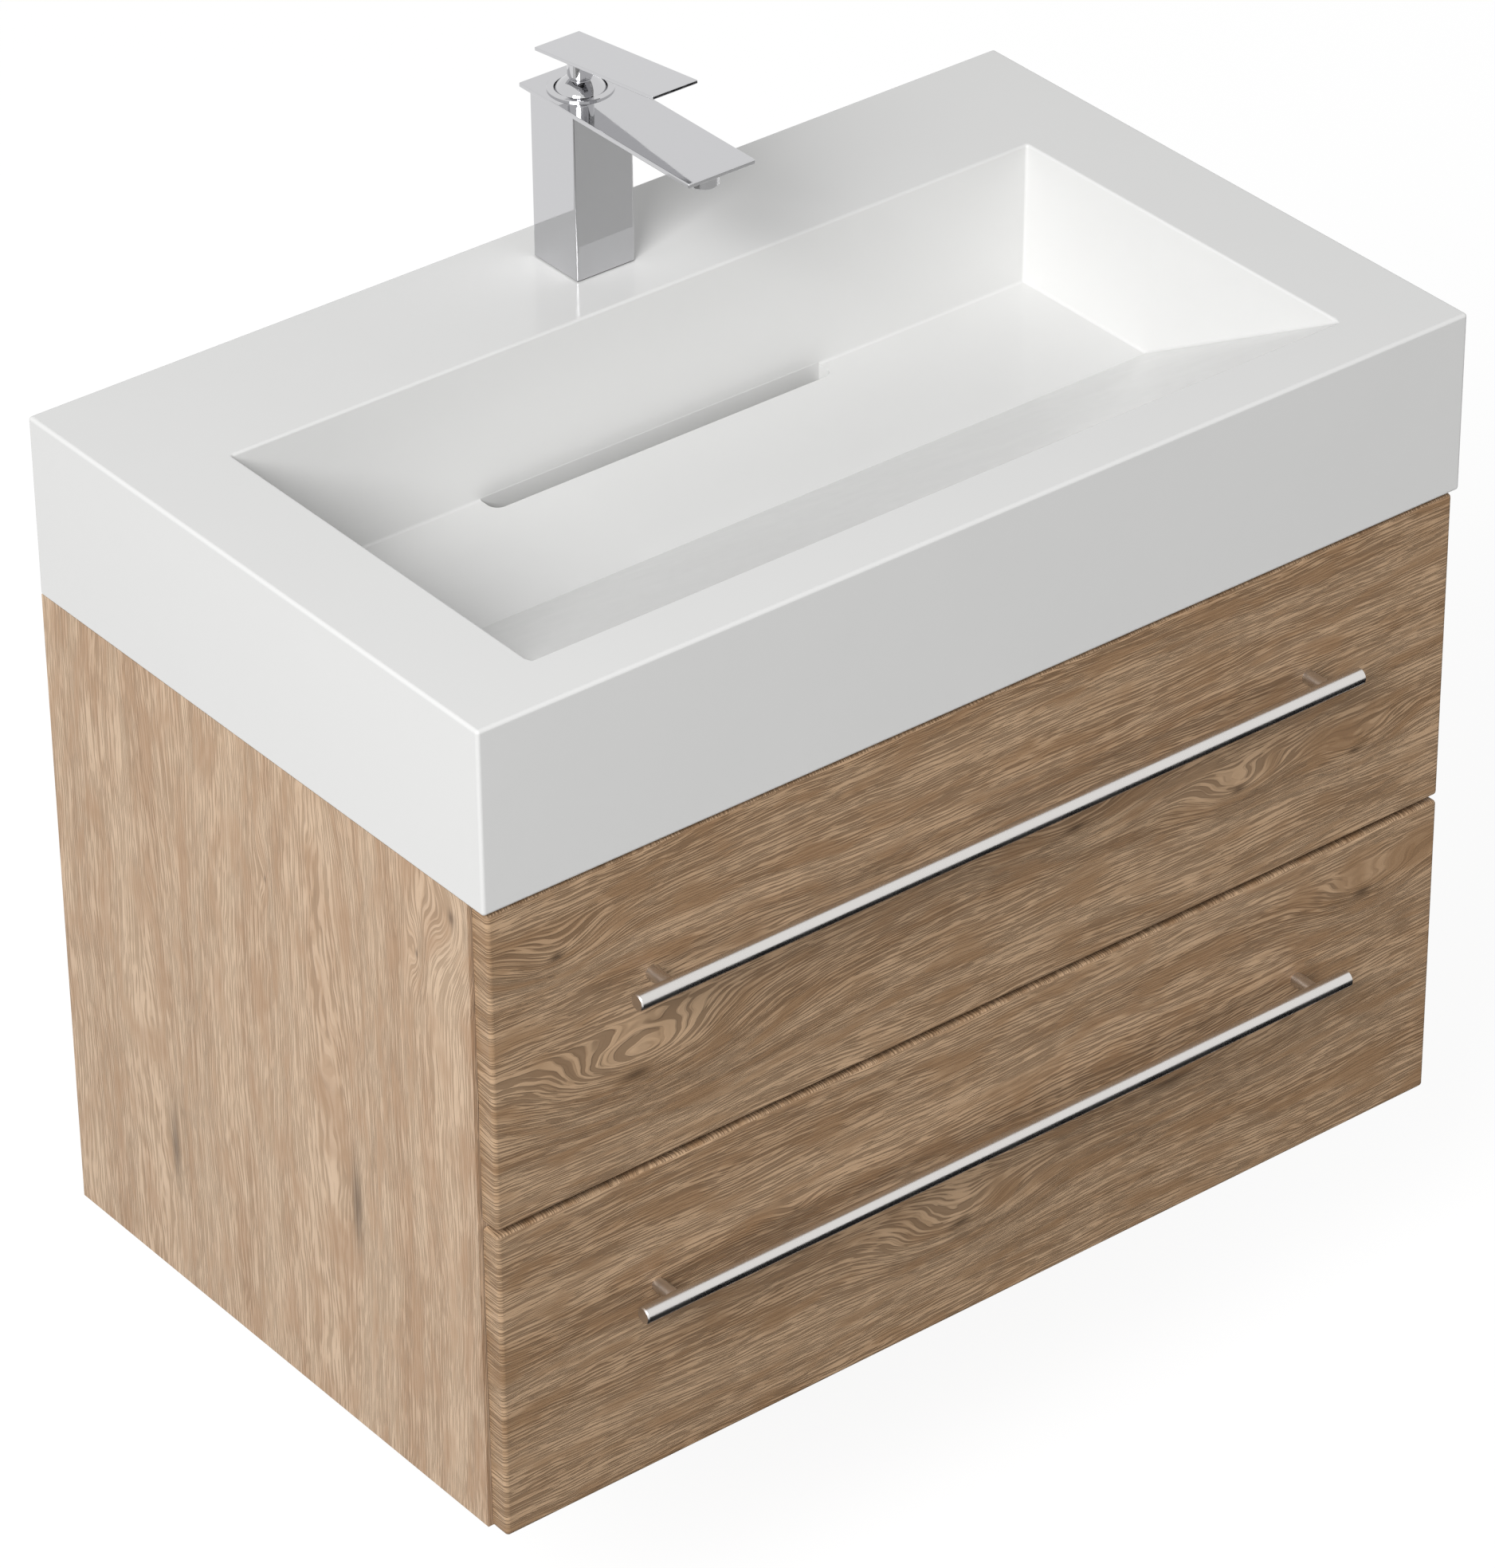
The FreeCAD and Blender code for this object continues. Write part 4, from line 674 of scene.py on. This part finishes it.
def floor_finish(tree):
    """A pale floor that shows white, with the soft shadow of what hangs over it."""
    point, _ = tree.place()
    faint = tree.noise(point, 3, 2)
    matte = tree.add("ShaderNodeBsdfDiffuse", {
        "Color": tree.mix(faint, (0.28, 0.28, 0.28, 1), (0.3, 0.3, 0.3, 1))}).outputs[0]
    shadowed = tree.add("ShaderNodeBsdfDiffuse", {"Color": (0.15, 0.15, 0.15, 1)}).outputs[0]
    glow = tree.add("ShaderNodeEmission", {"Color": (1, 1, 1, 1), "Strength": 0.9}).outputs[0]
    white = tree.add("ShaderNodeAddShader", {0: shadowed, 1: glow}).outputs[0]
    return tree.add("ShaderNodeMixShader", {0: seen_directly(tree), 1: matte, 2: white}).outputs[0]


def dark_reflection_finish(tree):
    """Black cloth that only reflections see: a painted dark reflection in the handles and chrome.
    """
    return tree.add("ShaderNodeBsdfDiffuse", {"Color": (0.01, 0.01, 0.011, 1)}).outputs[0]


class VANITY_OT_studio(bpy.types.Operator):
    """Set up the floor, the soft box, the even room light and the camera"""
    bl_idname = "vanity.studio"
    bl_label = "Studio"

    def execute(self, context):
        studio = context.scene.vanity_studio
        floor_z = deck_z - studio.counter
        sheet("floor", FLOOR_SIZE, FLOOR_SIZE, (0, 0, floor_z), (0, 0, 1),
              finish("studio_floor", floor_finish))
        # A black sheet on the floor that only glossy and transmission rays see: it paints a dark
        # reflection band into the handle bars and chrome, and casts no shadow and gives no bounce.
        reflected_dark = sheet("dark_reflection_sheet", CLOTH_WIDTH, CLOTH_DEPTH, (*CLOTH_PLACE, floor_z + CLOTH_LIFT),
                     (0, 0, 1), finish("dark_reflection_material", dark_reflection_finish))
        reflected_dark.visible_camera = False
        reflected_dark.visible_diffuse = False
        reflected_dark.visible_shadow = False
        self.make_world(context, studio)
        self.make_lamp(context, "soft_box", KEY_DIRECTION * studio.lamp_distance,
                       studio.lamp_size, studio.lamp_power)
        self.make_lamp(context, "low_fill", Vector((*FILL_PLACE, floor_z + FILL_LIFT)),
                       FILL_SIZE, studio.fill_power).visible_glossy = False
        self.make_camera(context, studio)
        return {"FINISHED"}

    def make_world(self, context, studio):
        """Even light from all round, and white where it is seen."""
        world = bpy.data.worlds.new("room")
        world.use_nodes = True
        world.node_tree.nodes.clear()
        tree = Tree(world.node_tree)
        light = tree.add("ShaderNodeBackground", {"Color": (1, 1, 1, 1),
                                                  "Strength": studio.room_light})
        white = tree.add("ShaderNodeBackground", {"Color": (1, 1, 1, 1), "Strength": 1.0})
        both = tree.add("ShaderNodeMixShader", {0: seen_directly(tree), 1: light.outputs[0],
                                                2: white.outputs[0]})
        tree.add("ShaderNodeOutputWorld", {"Surface": both.outputs[0]})
        context.scene.world = world

    def make_lamp(self, context, name, place, size, power):
        """A square soft lamp that points at the vanity."""
        data = bpy.data.lights.new(name, "AREA")
        data.shape = "SQUARE"
        data.size = size
        data.energy = power
        lamp = bpy.data.objects.new(name, data)
        lamp.location = place
        lamp.rotation_euler = place.to_track_quat("Z", "Y").to_euler()
        context.scene.collection.objects.link(lamp)
        return lamp

    def make_camera(self, context, studio):
        """The camera, from the front left and above."""
        data = bpy.data.cameras.new("camera")
        data.sensor_width = 36.0
        data.lens = studio.lens
        camera = bpy.data.objects.new("camera", data)
        camera.location = studio.camera_place
        camera.rotation_euler = studio.camera_turn
        context.scene.collection.objects.link(camera)
        context.scene.camera = camera
        context.scene.view_settings.view_transform = "Standard"


OPERATORS = (VANITY_OT_washbasin, VANITY_OT_cabinet, VANITY_OT_drawers, VANITY_OT_handles,
             VANITY_OT_steelware, VANITY_OT_mixer, VANITY_OT_drain, VANITY_OT_buffers,
             VANITY_OT_studio)


class VANITY_PT_sidebar(bpy.types.Panel):
    """Lists the vanity's steps and what can be changed"""
    bl_idname = "VANITY_PT_sidebar"
    bl_label = "Vanity"
    bl_space_type = "VIEW_3D"
    bl_region_type = "UI"
    bl_category = "Vanity"

    def draw(self, context):
        scene = context.scene
        for group in (scene.vanity_finishes, scene.vanity_fittings, scene.vanity_studio):
            box = self.layout.box()
            for name in group.bl_rna.properties.keys():
                if name not in ("rna_type", "name"):
                    box.prop(group, name)
        for step in OPERATORS:
            self.layout.operator(step.bl_idname)


CLASSES = (VANITY_PG_finishes, VANITY_PG_fittings, VANITY_PG_studio, *OPERATORS, VANITY_PT_sidebar)


def register():
    """Add the classes and the scene's properties to Blender."""
    for cls in CLASSES:
        bpy.utils.register_class(cls)
    bpy.types.Scene.vanity_finishes = PointerProperty(type=VANITY_PG_finishes)
    bpy.types.Scene.vanity_fittings = PointerProperty(type=VANITY_PG_fittings)
    bpy.types.Scene.vanity_studio = PointerProperty(type=VANITY_PG_studio)


def unregister():
    """Take them away again."""
    del bpy.types.Scene.vanity_studio
    del bpy.types.Scene.vanity_fittings
    del bpy.types.Scene.vanity_finishes
    for cls in reversed(CLASSES):
        bpy.utils.unregister_class(cls)


def main():
    """Make everything in order."""
    register()
    for step in OPERATORS:
        family, name = step.bl_idname.split(".")
        getattr(getattr(bpy.ops, family), name)()


if __name__ == "__main__":
    main()
